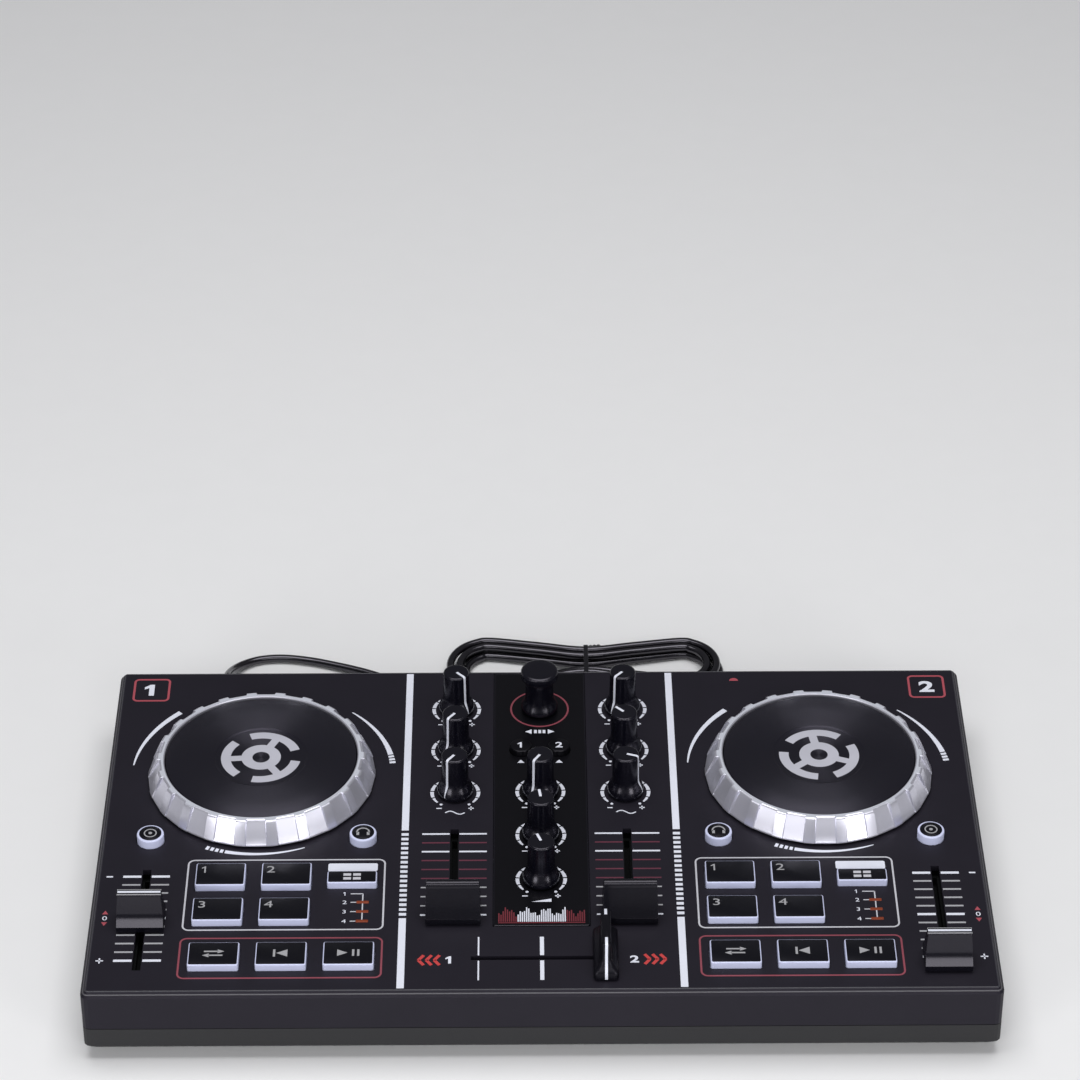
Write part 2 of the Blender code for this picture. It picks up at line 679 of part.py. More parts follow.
def make_jogs():
    """Each jog wheel: a faceted metal ring on a black plate whose hub turns on a fixed spindle."""
    ledge = JOG_HEIGHT - JOG_PLATE_SINK - JOG_PLATE_THICKNESS
    flange = JOG_PLATE_RADIUS + JOG_LEDGE
    mouth = JOG_PLATE_RADIUS + CLEARANCE
    rim = mouth + JOG_RIM_WIDTH
    edge = JOG_RIM_WIDTH / 4
    ring_profile = [
        (JOG_RADIUS, JOG_LIFT),
        (JOG_RADIUS, 2 * JOG_LIFT),
        (rim, JOG_HEIGHT - edge),
        (rim - edge, JOG_HEIGHT),
        (mouth, JOG_HEIGHT),
        (mouth, ledge + CLEARANCE),
        (flange + CLEARANCE, ledge + CLEARANCE),
        (JOG_RADIUS - JOG_SKIRT_WALL, JOG_LIFT),
    ]
    bore = SPINDLE_RADIUS + CLEARANCE
    bore_top = ledge - JOG_PLATE_THICKNESS / 2
    plate_profile = [
        (0.0, JOG_HEIGHT - JOG_PLATE_SINK),
        (JOG_PLATE_RADIUS, JOG_HEIGHT - JOG_PLATE_SINK),
        (JOG_PLATE_RADIUS, ledge),
        (flange, ledge),
        (flange, ledge - JOG_PLATE_THICKNESS / 2),
        (HUB_RADIUS, ledge - JOG_PLATE_THICKNESS / 2),
        (HUB_RADIUS, -HUB_DROP),
        (bore, -HUB_DROP),
        (bore, bore_top),
        (0.0, bore_top),
    ]
    base = CASE_FLOOR + CLEARANCE
    spindle_profile = [
        (0.0, PANEL + bore_top - CLEARANCE),
        (SPINDLE_RADIUS, PANEL + bore_top - CLEARANCE),
        (SPINDLE_RADIUS, base + SPINDLE_BASE_HEIGHT),
        (SPINDLE_BASE_RADIUS, base + SPINDLE_BASE_HEIGHT),
        (SPINDLE_BASE_RADIUS, base),
        (0.0, base),
    ]
    for side, sign in sides():
        centre = (sign * JOG_X, JOG_Y, PANEL)
        place(f"jog_ring_{side}", faceted_ring(ring_profile), "jog_silver", centre)
        place(f"jog_plate_{side}", turned(bmesh.new(), plate_profile, WIDE_STEPS), "jog_black", centre)
        spindle = turned(bmesh.new(), spindle_profile, ROUND_STEPS)
        place(f"jog_spindle_{side}", spindle, "steel", (sign * JOG_X, JOG_Y, 0.0))


def faceted_ring(profile):
    """A ring about Z whose corners lie at the jog's own angles, so its flats are wide and narrow."""
    bm = bmesh.new()
    stations = []
    for angle in jog_angles():
        ring = [bm.verts.new((r * math.cos(angle), r * math.sin(angle), z)) for r, z in profile]
        stations.append(ring)
    count = len(profile)
    for here, there in zip(stations, stations[1:] + stations[:1]):
        for i in range(count):
            j = (i + 1) % count
            bm.faces.new((here[i], here[j], there[j], there[i]))
    return bm


def make_keys():
    """Every key: its cap through the panel, a flange that keeps it in, and a stem over its switch."""
    flange_top = UNDERSIDE - CLEARANCE - PANEL
    flange_low = flange_top - KEY_FLANGE
    stem_low = SWITCH_TOP + PRESS_TRAVEL + CLEARANCE - PANEL
    for name, x, y, depth in rectangle_keys():
        half = (PAD_WIDTH / 2, depth / 2)
        levels = [
            (-KEY_BEVEL, PAD_RISE),
            (0.0, PAD_RISE - KEY_BEVEL),
            (0.0, flange_top),
            (KEY_FLANGE, flange_top),
            (KEY_FLANGE, flange_low),
        ]
        sections = [
            (rounded_outline(half[0] + grow, half[1] + grow, PAD_CORNER, KEY_CORNER_STEPS), level)
            for grow, level in levels
        ]
        stem = rounded_outline(KEY_STEM / 2, KEY_STEM / 2, PAD_CORNER, KEY_CORNER_STEPS)
        sections += [(stem, flange_low), (stem, stem_low)]
        place(name, loft(bmesh.new(), sections), "pad_white", (x, y, PANEL))
    for name, x, y, radius, rise, finish in round_keys():
        profile = [
            (0.0, rise),
            (radius - KEY_BEVEL, rise),
            (radius, rise - KEY_BEVEL),
            (radius, flange_top),
            (radius + KEY_FLANGE, flange_top),
            (radius + KEY_FLANGE, flange_low),
            (KEY_STEM / 2, flange_low),
            (KEY_STEM / 2, stem_low),
            (0.0, stem_low),
        ]
        place(name, turned(bmesh.new(), profile, ROUND_STEPS), finish, (x, y, PANEL))


def make_knobs():
    """The slim waisted knobs, each in one with its shaft, and the browse knob on its own shaft."""
    shaft_low = SHAFT_BOTTOM - PANEL
    profile = [
        (0.0, KNOB_HEIGHT),
        (KNOB_TOP_RADIUS - KNOB_EDGE, KNOB_HEIGHT),
        (KNOB_TOP_RADIUS, KNOB_HEIGHT - KNOB_EDGE),
        (KNOB_WAIST_RADIUS, KNOB_WAIST_HEIGHT),
        (KNOB_SKIRT_RADIUS, KNOB_SKIRT_HEIGHT),
        (KNOB_SKIRT_RADIUS, KNOB_LIFT),
        (SHAFT_RADIUS, KNOB_LIFT),
        (SHAFT_RADIUS, shaft_low),
        (0.0, shaft_low),
    ]
    for name, x, y in knobs():
        place(name, turned(bmesh.new(), profile, ROUND_STEPS), "knob_rubber", (x, y, PANEL))
    bore = SHAFT_RADIUS + CLEARANCE
    bore_top = BROWSE_HEIGHT - BROWSE_CAP_HEIGHT
    lift = KNOB_LIFT + BROWSE_PUSH_TRAVEL
    browse_profile = [
        (0.0, BROWSE_HEIGHT),
        (BROWSE_CAP_RADIUS - KNOB_EDGE, BROWSE_HEIGHT),
        (BROWSE_CAP_RADIUS, BROWSE_HEIGHT - KNOB_EDGE),
        (BROWSE_CAP_RADIUS, BROWSE_HEIGHT - BROWSE_CAP_HEIGHT),
        (BROWSE_NECK_RADIUS, BROWSE_HEIGHT - BROWSE_CAP_HEIGHT - KNOB_EDGE),
        (BROWSE_NECK_RADIUS, BROWSE_NECK_HEIGHT),
        (BROWSE_SKIRT_RADIUS, BROWSE_SKIRT_HEIGHT),
        (BROWSE_SKIRT_RADIUS, lift),
        (bore, lift),
        (bore, bore_top),
        (0.0, bore_top),
    ]
    centre = (0.0, BROWSE_Y, PANEL)
    place("browse_knob", turned(bmesh.new(), browse_profile, ROUND_STEPS), "knob_rubber", centre)
    shaft_profile = [
        (0.0, bore_top - CLEARANCE),
        (SHAFT_RADIUS, bore_top - CLEARANCE),
        (SHAFT_RADIUS, shaft_low),
        (0.0, shaft_low),
    ]
    place("browse_shaft", turned(bmesh.new(), shaft_profile, ROUND_STEPS), "steel", centre)


def crested_cap(size, hollow):
    """A fader cap with a crest across its middle: upright lips, then slopes that hollow up to the crest."""
    width, length, height = size
    foot, crest = length / 2, CAP_CREST / 2
    slope = []
    for step in range(HOLLOW_STEPS + 1):
        share = step / HOLLOW_STEPS
        deep = foot + (crest - foot) * share - hollow * 4 * share * (1 - share)
        slope.append((deep, CAP_LIP + (height - CAP_LIP) * share))
    profile = [(foot, 0.0)] + slope + [(-deep, level) for deep, level in reversed(slope)] + [(-foot, 0.0)]
    bm = bmesh.new()
    rings = []
    for sign in (-1, 1):
        half = [width / 2 - CAP_TAPER * level / height for _, level in profile]
        rings.append([bm.verts.new((sign * x, y, FADER_LIFT + z)) for x, (y, z) in zip(half, profile)])
    count = len(profile)
    for i in range(count):
        j = (i + 1) % count
        bm.faces.new((rings[0][i], rings[0][j], rings[1][j], rings[1][i]))
    bm.faces.new(rings[0])
    bm.faces.new(rings[1])
    return bm


def blade_cap(size):
    """The crossfader's cap: a flared foot that narrows to an upright blade."""
    width, length, height = size
    sections = []
    for (across, deep), level in (
        (CROSS_BLADE, height),
        (CROSS_SHOULDER, CROSS_SHOULDER_HEIGHT),
        ((width, length), CROSS_FOOT_HEIGHT),
        ((width, length), 0.0),
    ):
        outline = rounded_outline(across / 2, deep / 2, CROSS_CORNER, CORNER_STEPS)
        sections.append((outline, FADER_LIFT + level))
    return loft(bmesh.new(), sections)


def make_faders():
    """Each fader: its cap above the panel in one with the lever that reaches into its slide pot."""
    for name, rest, _, _, axis, size, _ in faders():
        hollow = PITCH_CAP_HOLLOW if name.startswith("pitch") else LINE_CAP_HOLLOW
        cap = blade_cap(size) if axis == "X" else crested_cap(size, hollow)
        fader = place(name, cap, "fader_plastic", (*rest, PANEL))
        half_x, half_y = along(axis, LEVER_LENGTH, LEVER_THICKNESS)
        low = (-half_x, -half_y, LEVER_BOTTOM - PANEL)
        high = (half_x, half_y, FADER_LIFT + LEVER_ROOT)
        lever = helper(name + "_lever", block(bmesh.new(), low, high))
        lever.location = (*rest, PANEL)
        combine(fader, lever, "UNION")


def make_gland():
    """The lead's strain relief: a collar inside the rear wall and a tapered sleeve behind it."""
    inner = -WALL - TONGUE_WALL - 2 * CLEARANCE
    profile = [
        (0.0, GLAND_LENGTH),
        (GLAND_TIP_RADIUS, GLAND_LENGTH),
        (GLAND_ROOT_RADIUS, 0.0),
        (GLAND_ROOT_RADIUS, inner),
        (GLAND_COLLAR_RADIUS, inner),
        (GLAND_COLLAR_RADIUS, inner - GLAND_COLLAR),
        (0.0, inner - GLAND_COLLAR),
    ]
    sleeve = turned(bmesh.new(), profile, ROUND_STEPS)
    gland = place("cord_gland", sleeve, "foot_rubber", (GLAND_X, HALF_DEPTH, GLAND_Z))
    gland.rotation_euler = (-math.pi / 2, 0.0, 0.0)


def lead_route():
    """Chosen points of the lead, from the gland over the desk to the hank.

    Each is a share of the way across from the gland to the hank, how far behind the body it lies,
    and a share of the gland's height above the desk.
    """
    chosen = [
        (0.000, 0.0270, 0.88),
        (0.002, 0.0330, 0.62),
        (0.018, 0.0400, 0.28),
        (0.052, 0.0460, 0.06),
        (0.113, 0.0500, 0.00),
        (0.200, 0.0510, 0.00),
        (0.304, 0.0490, 0.00),
        (0.408, 0.0452, 0.00),
        (0.513, 0.0405, 0.00),
        (0.617, 0.0345, 0.00),
        (0.722, 0.0283, 0.00),
        (0.817, 0.0240, 0.00),
    ]
    start = (GLAND_X, GLAND_END_Y + CLEARANCE, GLAND_Z)
    across = HANK_START[0] - GLAND_X
    route = [start]
    for share, behind, height in chosen:
        level = CORD_FLOOR + (GLAND_Z - CORD_FLOOR) * height
        route.append((GLAND_X + across * share, HALF_DEPTH + behind, level))
    route.append((HANK_START[0] - 3 * CORD_DIAMETER, HANK_START[1], CORD_FLOOR))
    route.append((HANK_START[0] - CLEARANCE, HANK_START[1], CORD_FLOOR))
    return route


def smooth_line(route, spacing):
    """Points about a spacing apart on a Catmull-Rom curve through the route's own points."""
    ends = [route[0], *route, route[-1]]
    line = []
    for a, b, c, d in zip(ends, ends[1:], ends[2:], ends[3:]):
        steps = max(1, round(math.dist(b, c) / spacing))
        for step in range(steps):
            t = step / steps
            point = tuple(
                0.5
                * (
                    2 * q
                    + (r - p) * t
                    + (2 * p - 5 * q + 4 * r - s) * t * t
                    + (3 * q - p - 3 * r + s) * t**3
                )
                for p, q, r, s in zip(a, b, c, d)
            )
            line.append(point)
    return [*line, route[-1]]


def hank_line():
    """Centre line of the tied hank: it spirals in on the desk, climbs along a run and spirals out."""
    fold_steps, run_steps = 8, 4
    quarters = [("near", run_steps), ("right", fold_steps), ("far", run_steps), ("left", fold_steps)]
    per_turn = sum(steps for _, steps in quarters)
    first_layer = HANK_TURNS_IN * per_turn
    climb = run_steps
    last = 2 * first_layer + climb
    points = []
    for index in range(last + 1):
        shrink = min(index, first_layer) / per_turn
        grow = max(0, index - first_layer) / per_turn
        radius = HANK_OUTER_RADIUS - HANK_STEP * (shrink - grow)
        rise = min(1.0, max(0.0, (index - first_layer) / climb))
        x, y, middle = hank_point(index % per_turn, radius, quarters)
        lift = HANK_LIFT * middle
        points.append((HANK_X + x, HANK_Y + y, CORD_FLOOR + lift + HANK_LAYER_STEP * rise))
    return points + hank_tail(points[-1])


def hank_point(index, radius, quarters):
    """Place on one loop, and how near it is to the waist, from 0 at the folds to 1 at the tie."""
    half = HANK_RUN / 2
    for name, steps in quarters:
        if index < steps:
            break
        index -= steps
    share = index / steps
    if name in ("near", "far"):
        way = 1 if name == "near" else -1
        x = way * HANK_RUN * (share - 0.5)
        middle = math.cos(math.pi * x / HANK_RUN) ** 2
        return x, -way * (radius - HANK_DRAW * middle), middle
    side = 1 if name == "right" else -1
    angle = math.pi * (share - 0.5)
    return side * (half + radius * math.cos(angle)), side * radius * math.sin(angle), 0.0


def hank_tail(start):
    """The last stretch, straight out past the folds and down to the height of the plug."""
    level = plug_level()
    steps = 6
    tail = []
    for step in range(1, steps + 1):
        share = step / steps
        ease = min(1.0, max(0.0, (share - 0.4) / 0.4))
        ease = ease * ease * (3 - 2 * ease)
        tail.append((start[0] + HANK_TAIL * share, start[1], start[2] + (level - start[2]) * ease))
    return tail


def plug_level():
    return PLUG_THICKNESS / 2 + CLEARANCE


def tube(name, line, resolution):
    """A cord's round tube along a line, with closed ends."""
    curve = bpy.data.curves.new(name, "CURVE")
    curve.dimensions = "3D"
    curve.bevel_depth = CORD_RADIUS
    curve.bevel_resolution = resolution
    curve.use_fill_caps = True
    spline = curve.splines.new("POLY")
    spline.points.add(len(line) - 1)
    for point, place_at in zip(spline.points, line):
        point.co = (*place_at, 1.0)
    curve.materials.append(finish_material("cord_vinyl"))
    obj = bpy.data.objects.new(name, curve)
    bpy.context.scene.collection.objects.link(obj)
    obj.parent = bpy.data.objects["dj_controller"]
    return obj


def least_gap(line, diameter):
    """The least distance between a tube's own surfaces, measured on points a third of a diameter apart."""
    fine = []
    for a, b in zip(line, line[1:]):
        steps = max(1, math.ceil(3 * math.dist(a, b) / diameter))
        fine += [tuple(p + (q - p) * s / steps for p, q in zip(a, b)) for s in range(steps)]
    apart = math.ceil(3 * math.pi)
    return min(
        math.dist(fine[i], fine[j]) for i in range(len(fine)) for j in range(i + apart, len(fine))
    ) - diameter


def make_lead():
    """The lead's free stretch, its hank, the tie round the hank's waist and the plug."""
    tube("cord_lead", smooth_line(lead_route(), 2 * CORD_DIAMETER), 2)
    line = hank_line()
    tube("cord_hank", line, 1)
    print(f"hank: {len(line)} points, least gap to itself {1000 * least_gap(line, CORD_DIAMETER):.2f} mm")
    make_tie()
    make_plug(line[-1])


def make_tie():
    """A flat band round all the runs at the waist."""
    half_y = HANK_WAIST_HALF + HANK_TURNS_IN * HANK_STEP + CORD_RADIUS + TIE_SLACK
    low = CORD_FLOOR + HANK_LIFT - CORD_RADIUS - CLEARANCE
    high = low + HANK_LAYER_STEP + CORD_DIAMETER + 2 * CLEARANCE
    middle, half_z = (low + high) / 2, (high - low) / 2
    inner = rounded_outline(half_y, half_z, CORD_RADIUS, CORNER_STEPS)
    outer = rounded_outline(
        half_y + TIE_THICKNESS, half_z + TIE_THICKNESS, CORD_RADIUS + TIE_THICKNESS, CORNER_STEPS
    )
    bm = bmesh.new()
    rings = []
    for outline, x in (
        (outer, -TIE_WIDTH / 2),
        (outer, TIE_WIDTH / 2),
        (inner, TIE_WIDTH / 2),
        (inner, -TIE_WIDTH / 2),
    ):
        rings.append([bm.verts.new((x, u, v)) for u, v in outline])
    count = len(outer)
    for here, there in zip(rings, rings[1:] + rings[:1]):
        for i in range(count):
            j = (i + 1) % count
            bm.faces.new((here[i], here[j], there[j], there[i]))
    place("cord_tie", bm, "foot_rubber", (HANK_X, HANK_Y, middle))


def make_plug(cord_end):
    """The USB plug at the end of the lead: a moulded grip and a metal shell."""
    sections = []
    for (width, thick), x in (
        (PLUG_NECK, 0.0),
        ((PLUG_WIDTH, PLUG_THICKNESS), PLUG_NECK_LENGTH),
        ((PLUG_WIDTH, PLUG_THICKNESS), PLUG_LENGTH),
    ):
        sections.append((rounded_outline(width / 2, thick / 2, PLUG_CORNER, CORNER_STEPS), x))
    place_on_cord("usb_plug_grip", loft(bmesh.new(), sections), "cord_vinyl", cord_end, CLEARANCE)
    outline = rounded_outline(SHELL_WIDTH / 2, SHELL_THICKNESS / 2, SHELL_CORNER, CORNER_STEPS)
    shell = loft(bmesh.new(), [(outline, 0.0), (outline, SHELL_LENGTH)])
    place_on_cord("usb_plug_shell", shell, "steel", cord_end, PLUG_LENGTH + 2 * CLEARANCE)


def place_on_cord(name, bm, finish, cord_end, distance):
    """Places a piece that was lofted along Z so that it runs along +X from the cord's end."""
    for vert in bm.verts:
        u, v, w = vert.co
        vert.co = (w, u, v)
    place(name, bm, finish, (cord_end[0] + distance, cord_end[1], cord_end[2]))


def build():
    clear_scene()
    root = bpy.data.objects.new("dj_controller", None)
    bpy.context.scene.collection.objects.link(root)
    make_case()
    make_feet()
    make_board()
    make_jacks()
    make_cover()
    make_faceplate()
    make_jogs()
    make_keys()
    make_knobs()
    make_faders()
    make_gland()
    make_lead()


build()
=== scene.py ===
# %% [markdown]
# # Dressing a two-deck DJ controller
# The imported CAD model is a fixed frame. Its nodes stay where they are, and new surfaces ride on their bodies.
# Every new shape is a grid of points worked out with numpy, so that its formula can be read in one place.

# %% Load the frame
import math

import bmesh
import bpy
import numpy as np
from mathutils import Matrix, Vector


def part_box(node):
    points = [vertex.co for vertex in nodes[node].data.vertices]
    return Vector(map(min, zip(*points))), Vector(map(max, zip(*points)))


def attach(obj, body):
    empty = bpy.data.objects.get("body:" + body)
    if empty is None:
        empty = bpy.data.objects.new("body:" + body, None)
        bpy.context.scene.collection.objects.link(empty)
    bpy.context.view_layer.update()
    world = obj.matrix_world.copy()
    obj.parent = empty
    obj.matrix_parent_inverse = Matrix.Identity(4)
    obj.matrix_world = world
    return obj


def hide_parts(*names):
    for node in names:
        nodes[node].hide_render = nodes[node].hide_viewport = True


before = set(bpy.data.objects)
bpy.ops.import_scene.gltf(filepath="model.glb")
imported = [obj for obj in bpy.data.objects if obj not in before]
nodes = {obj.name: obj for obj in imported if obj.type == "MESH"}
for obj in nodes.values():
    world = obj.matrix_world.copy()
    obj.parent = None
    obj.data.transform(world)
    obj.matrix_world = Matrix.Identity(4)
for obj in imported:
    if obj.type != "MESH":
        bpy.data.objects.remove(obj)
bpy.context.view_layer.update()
MM = 0.001
SIDES = (("left", -1), ("right", 1))

# %% [markdown]
# ## Camera
# The photograph was taken from in front and above with a long lens, so the far edge is hardly narrower
# than the near one. The place and angles come from a fit to the panel's corners and the two jog wheels.

# %% Camera
scene = bpy.context.scene
scene.view_settings.view_transform = "Standard"
lens = bpy.data.cameras.new("front_camera")
lens.sensor_width = 36.0
lens.lens = 132.587
camera = bpy.data.objects.new("front_camera", lens)
camera.location = (-0.00745, -1.26387, 1.07029)
camera.rotation_euler = np.radians((54.7157, 0.0608, -0.3752))
scene.collection.objects.link(camera)
scene.camera = camera
print(f"camera: {lens.lens:.1f} mm lens, {Vector(camera.location).length:.2f} m from the middle of the desk")

# %% [markdown]
# ## Grids into meshes
# A surface is a function of two parameters. Sampled on a grid, its points are an array of rows and columns,
# and its faces follow from the grid alone. A side that wraps meets its own start, and a cap fills an end row.
# Poles and seams leave points on top of each other, so they are merged before the normals are turned out.

# %% Grids into meshes
TURN = 2 * math.pi
WELD = 0.001 * MM
SHARP_EDGE = 34.0


def skin(points, wrap_u=False, wrap_v=False, caps=False):
    """Faces over a grid of points, rows u and columns v; caps fill the first and the last row."""
    rows, columns = points.shape[:2]
    index = np.arange(rows * columns).reshape(rows, columns)
    net = np.vstack([index, index[:1]]) if wrap_u else index
    net = np.hstack([net, net[:, :1]]) if wrap_v else net
    quads = np.stack([net[:-1, :-1], net[:-1, 1:], net[1:, 1:], net[1:, :-1]], axis=-1).reshape(-1, 4)
    faces = [quads, index[:1, ::-1], index[-1:]] if caps else [quads]
    return points.reshape(-1, 3), faces


def close_up(mesh):
    """Merges points that meet, as at poles and seams, and turns the faces of every closed shell outwards."""
    net = bmesh.new()
    net.from_mesh(mesh)
    bmesh.ops.remove_doubles(net, verts=net.verts, dist=WELD)
    bmesh.ops.dissolve_degenerate(net, edges=net.edges, dist=WELD)
    bmesh.ops.recalc_face_normals(net, faces=net.faces)
    net.to_mesh(mesh)
    net.free()


def piece(name, dressed, body="housing", instead_of=(), edge=SHARP_EDGE):
    """Joins pairs of patch and material into one object at the origin, which rides on a body."""
    palette = list(dict.fromkeys(material for _, material in dressed))
    corners, faces, kinds, start = [], [], [], 0
    for (points, blocks), material in dressed:
        corners.append(points)
        for block in blocks:
            faces += (np.asarray(block) + start).tolist()
            kinds += [palette.index(material)] * len(block)
        start += len(points)
    mesh = bpy.data.meshes.new(name)
    mesh.from_pydata(np.vstack(corners).tolist(), [], faces)
    mesh.polygons.foreach_set("material_index", kinds)
    for material in palette:
        mesh.materials.append(material)
    close_up(mesh)
    mesh.shade_smooth()
    mesh.set_sharp_from_angle(angle=math.radians(edge))
    made = bpy.data.objects.new(name, mesh)
    scene.collection.objects.link(made)
    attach(made, body)
    if instead_of:
        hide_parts(*instead_of)
    return made


def stand_in(node, ending, dressed, edge=SHARP_EDGE):
    """A piece in place of one CAD node, which rides on the body of the same name."""
    return piece(f"{node}_{ending}", dressed, body=node, instead_of=[node], edge=edge)


def softened(made, width, segments=2):
    """Rounds a piece's hard edges with a live Bevel, as a mould does."""
    bevel = made.modifiers.new("softened", "BEVEL")
    bevel.width = width
    bevel.segments = segments
    bevel.limit_method = "ANGLE"
    bevel.angle_limit = math.radians(40)
    bevel.harden_normals = True
    return made


def middle_of(node):
    """The middle of a CAD node's box, across and deep."""
    low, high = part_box(node)
    return np.array([(low.x + high.x) / 2, (low.y + high.y) / 2])


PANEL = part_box("top_cover")[1].z
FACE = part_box("mixer_faceplate")[1].z
print(f"panel at {PANEL / MM:.1f} mm, faceplate at {FACE / MM:.1f} mm above the desk")

# %% [markdown]
# ## Shapes that come back again and again
# Most moulded pieces are one of four families: a profile turned about an upright axis, rounded rectangles
# stacked upwards, a flat outline with a thickness, or a flat band carried along a path. Printed lines are
# bands too, only a few hundredths of a millimetre thick, as real ink is.

# %% Shape families
INK_SINK = 0.02 * MM
INK_RISE = 0.05 * MM


def unit(steps):
    """Each step along a path, divided by its own length."""
    return steps / np.linalg.norm(steps, axis=1, keepdims=True)


def at_level(line, level):
    """A flat line, lifted to one height."""
    return np.column_stack([line, np.full(len(line), level)])


def outward(path):
    """The step of length one that stands square on an open path, to its left: ahead (x, y) gives (-y, x)."""
    ahead = unit(np.gradient(path, axis=0))
    return np.column_stack([-ahead[:, 1], ahead[:, 0]])


def spun(centre, radius, angle, level, closed=False):
    """A grid of radii, rows by angles, about an upright axis: x = r cos a, y = r sin a, z = level."""
    across, deep = centre[0] + radius * np.cos(angle), centre[1] + radius * np.sin(angle)
    height = np.broadcast_to(level, radius.shape)
    return skin(np.stack([across, deep, height], axis=-1), wrap_u=closed, wrap_v=True)


def turned(profile, centre, steps=48):
    """A profile (radius, height) turned about an upright axis, with one radius all the way round."""
    profile = np.asarray(profile, float)
    radius = np.repeat(profile[:, :1], steps, axis=1)
    level = profile[:, 1:] + (centre[2] if len(centre) > 2 else 0.0)
    return spun(centre, radius, np.arange(steps) * TURN / steps, level)


def rounded_loop(half_x, half_y, radius, steps=5):
    """A rounded rectangle as one closed line: four quarter circles, joined by the straight sides."""
    angle = np.arange(4)[:, None] * TURN / 4 + np.linspace(0, TURN / 4, steps + 1)
    across = np.array([1, -1, -1, 1])[:, None] * (half_x - radius) + radius * np.cos(angle)
    deep = np.array([1, 1, -1, -1])[:, None] * (half_y - radius) + radius * np.sin(angle)
    return np.stack([across, deep], axis=-1).reshape(-1, 2)


def stacked(rows, centre, steps=5):
    """Rounded rectangles stacked upwards; a row is half width, half depth, corner radius and height."""
    lines = [rounded_loop(half_x, half_y, radius, steps) for half_x, half_y, radius, _ in rows]
    flat = np.stack(lines) + np.asarray(centre)[:2]
    height = np.repeat([[row[3]] for row in rows], flat.shape[1], axis=1)[..., None]
    return skin(np.concatenate([flat, height], axis=-1), wrap_v=True, caps=True)


def plate(outline, low, high):
    """A flat outline with a thickness: the same closed line at two heights."""
    outline = np.asarray(outline, float)
    return skin(np.stack([at_level(outline, level) for level in (low, high)]), wrap_v=True, caps=True)


def band(path, width, low, high, closed=False):
    """A rectangle carried along a flat path; its width may change on the way."""
    path = np.asarray(path, float)
    ahead = unit(np.roll(path, -1, 0) - np.roll(path, 1, 0) if closed else np.gradient(path, axis=0))
    side = np.column_stack([-ahead[:, 1], ahead[:, 0]]) * (np.broadcast_to(width, len(path)) / 2)[:, None]
    corners = ((1, low), (-1, low), (-1, high), (1, high))
    rings = [at_level(path + way * side, level) for way, level in corners]
    return skin(np.stack(rings, axis=1), wrap_u=closed, wrap_v=True, caps=not closed)


def eased(low, high, value):
    """A smooth step from 0 at low to 1 at high: 3t^2 - 2t^3."""
    share = np.clip((value - low) / (high - low), 0, 1)
    return share**2 * (3 - 2 * share)


def inked(level):
    """The two levels between which ink lies on a surface."""
    return level - INK_SINK, level + INK_RISE


def bar(centre, size, low, high):
    """A straight band: its size across and deep, about a centre."""
    x, y = centre
    return band([(x - size[0] / 2, y), (x + size[0] / 2, y)], size[1], low, high)


def compass(centre, radius, start, end, steps=24):
    """Points on a circle, with angles in degrees clockwise from the back: x = r sin a, y = r cos a."""
    angle = np.radians(np.linspace(start, end, steps))
    reach = np.reshape(radius, (-1, 1))
    return np.asarray(centre)[:2] + reach * np.column_stack([np.sin(angle), np.cos(angle)])


def disc(centre, radius, low, high, steps=32):
    """A full circle with a thickness."""
    return plate(compass(centre, radius, 0, 360 * (1 - 1 / steps), steps), low, high)


def ring(centre, radius, width, low, high, steps=64):
    """A closed circular band."""
    return band(compass(centre, radius, 0, 360 * (1 - 1 / steps), steps), width, low, high, closed=True)


def pointer_head(tip, length, half, way, low, high):
    """A filled triangle whose tip points along way, a unit step across or deep."""
    tip, way = np.asarray(tip, float), np.asarray(way, float)
    side = np.array([-way[1], way[0]]) * half
    return plate([tip, tip - way * length + side, tip - way * length - side], low, high)


def flagged_one(height, centre, low, high, stretch, weight):
    """The numeral 1: an upright stem with a slanting flag, in shares of its height."""
    stem = 0.06 + 1.5 * weight
    flag = stem + 0.20
    outline = [(-stem, -0.5), (stem, -0.5), (stem, 0.5), (-stem + 0.05, 0.5), (-flag, 0.27)]
    outline += [(-flag, 0.25 - 1.6 * stem), (-stem, 0.38 - 1.6 * stem)]
    return plate(np.array(outline) * height * (stretch, 1.0) + np.asarray(centre)[:2], low, high)


def figures(text, height, centre, low, high, stretch=1.25, weight=0.0):
    """Numerals of Blender's own font, made a mesh, scaled to a height and set between two levels."""
    if text == "1":
        return flagged_one(height, centre, low, high, stretch, weight)
    curve = bpy.data.curves.new("figures", "FONT")
    curve.body = text
    curve.offset = weight
    curve.extrude = 0.5
    curve.resolution_u = 4
    shape = bpy.data.objects.new("figures", curve)
    mesh = bpy.data.meshes.new_from_object(shape)
    points = np.empty(3 * len(mesh.vertices))
    mesh.vertices.foreach_get("co", points)
    points = points.reshape(-1, 3)
    least, most = points.min(axis=0), points.max(axis=0)
    grow = height / (most[1] - least[1])
    points = (points - (least + most) / 2) * (grow * stretch, grow, (high - low) / (most[2] - least[2]))
    faces = [np.array([tuple(face.vertices)]) for face in mesh.polygons]
    bpy.data.objects.remove(shape)
    bpy.data.curves.remove(curve)
    bpy.data.meshes.remove(mesh)
    return points + (centre[0], centre[1], (low + high) / 2), faces


print("shape families: turned, stacked, plate, band, figures")

# %% [markdown]
# ## Finishes
# Moulded plastic is never one flat colour. Its tone drifts a little over centimetres, and a fine spark-eroded
# grain breaks up the highlight. Both are noises on Object coordinates, so they keep their size in metres.
# Values that are the same all over sit on the shader's own sockets.

# %% Finishes
DRIFT_SIZE = 18 * MM
BUMP_STRENGTH = 0.5


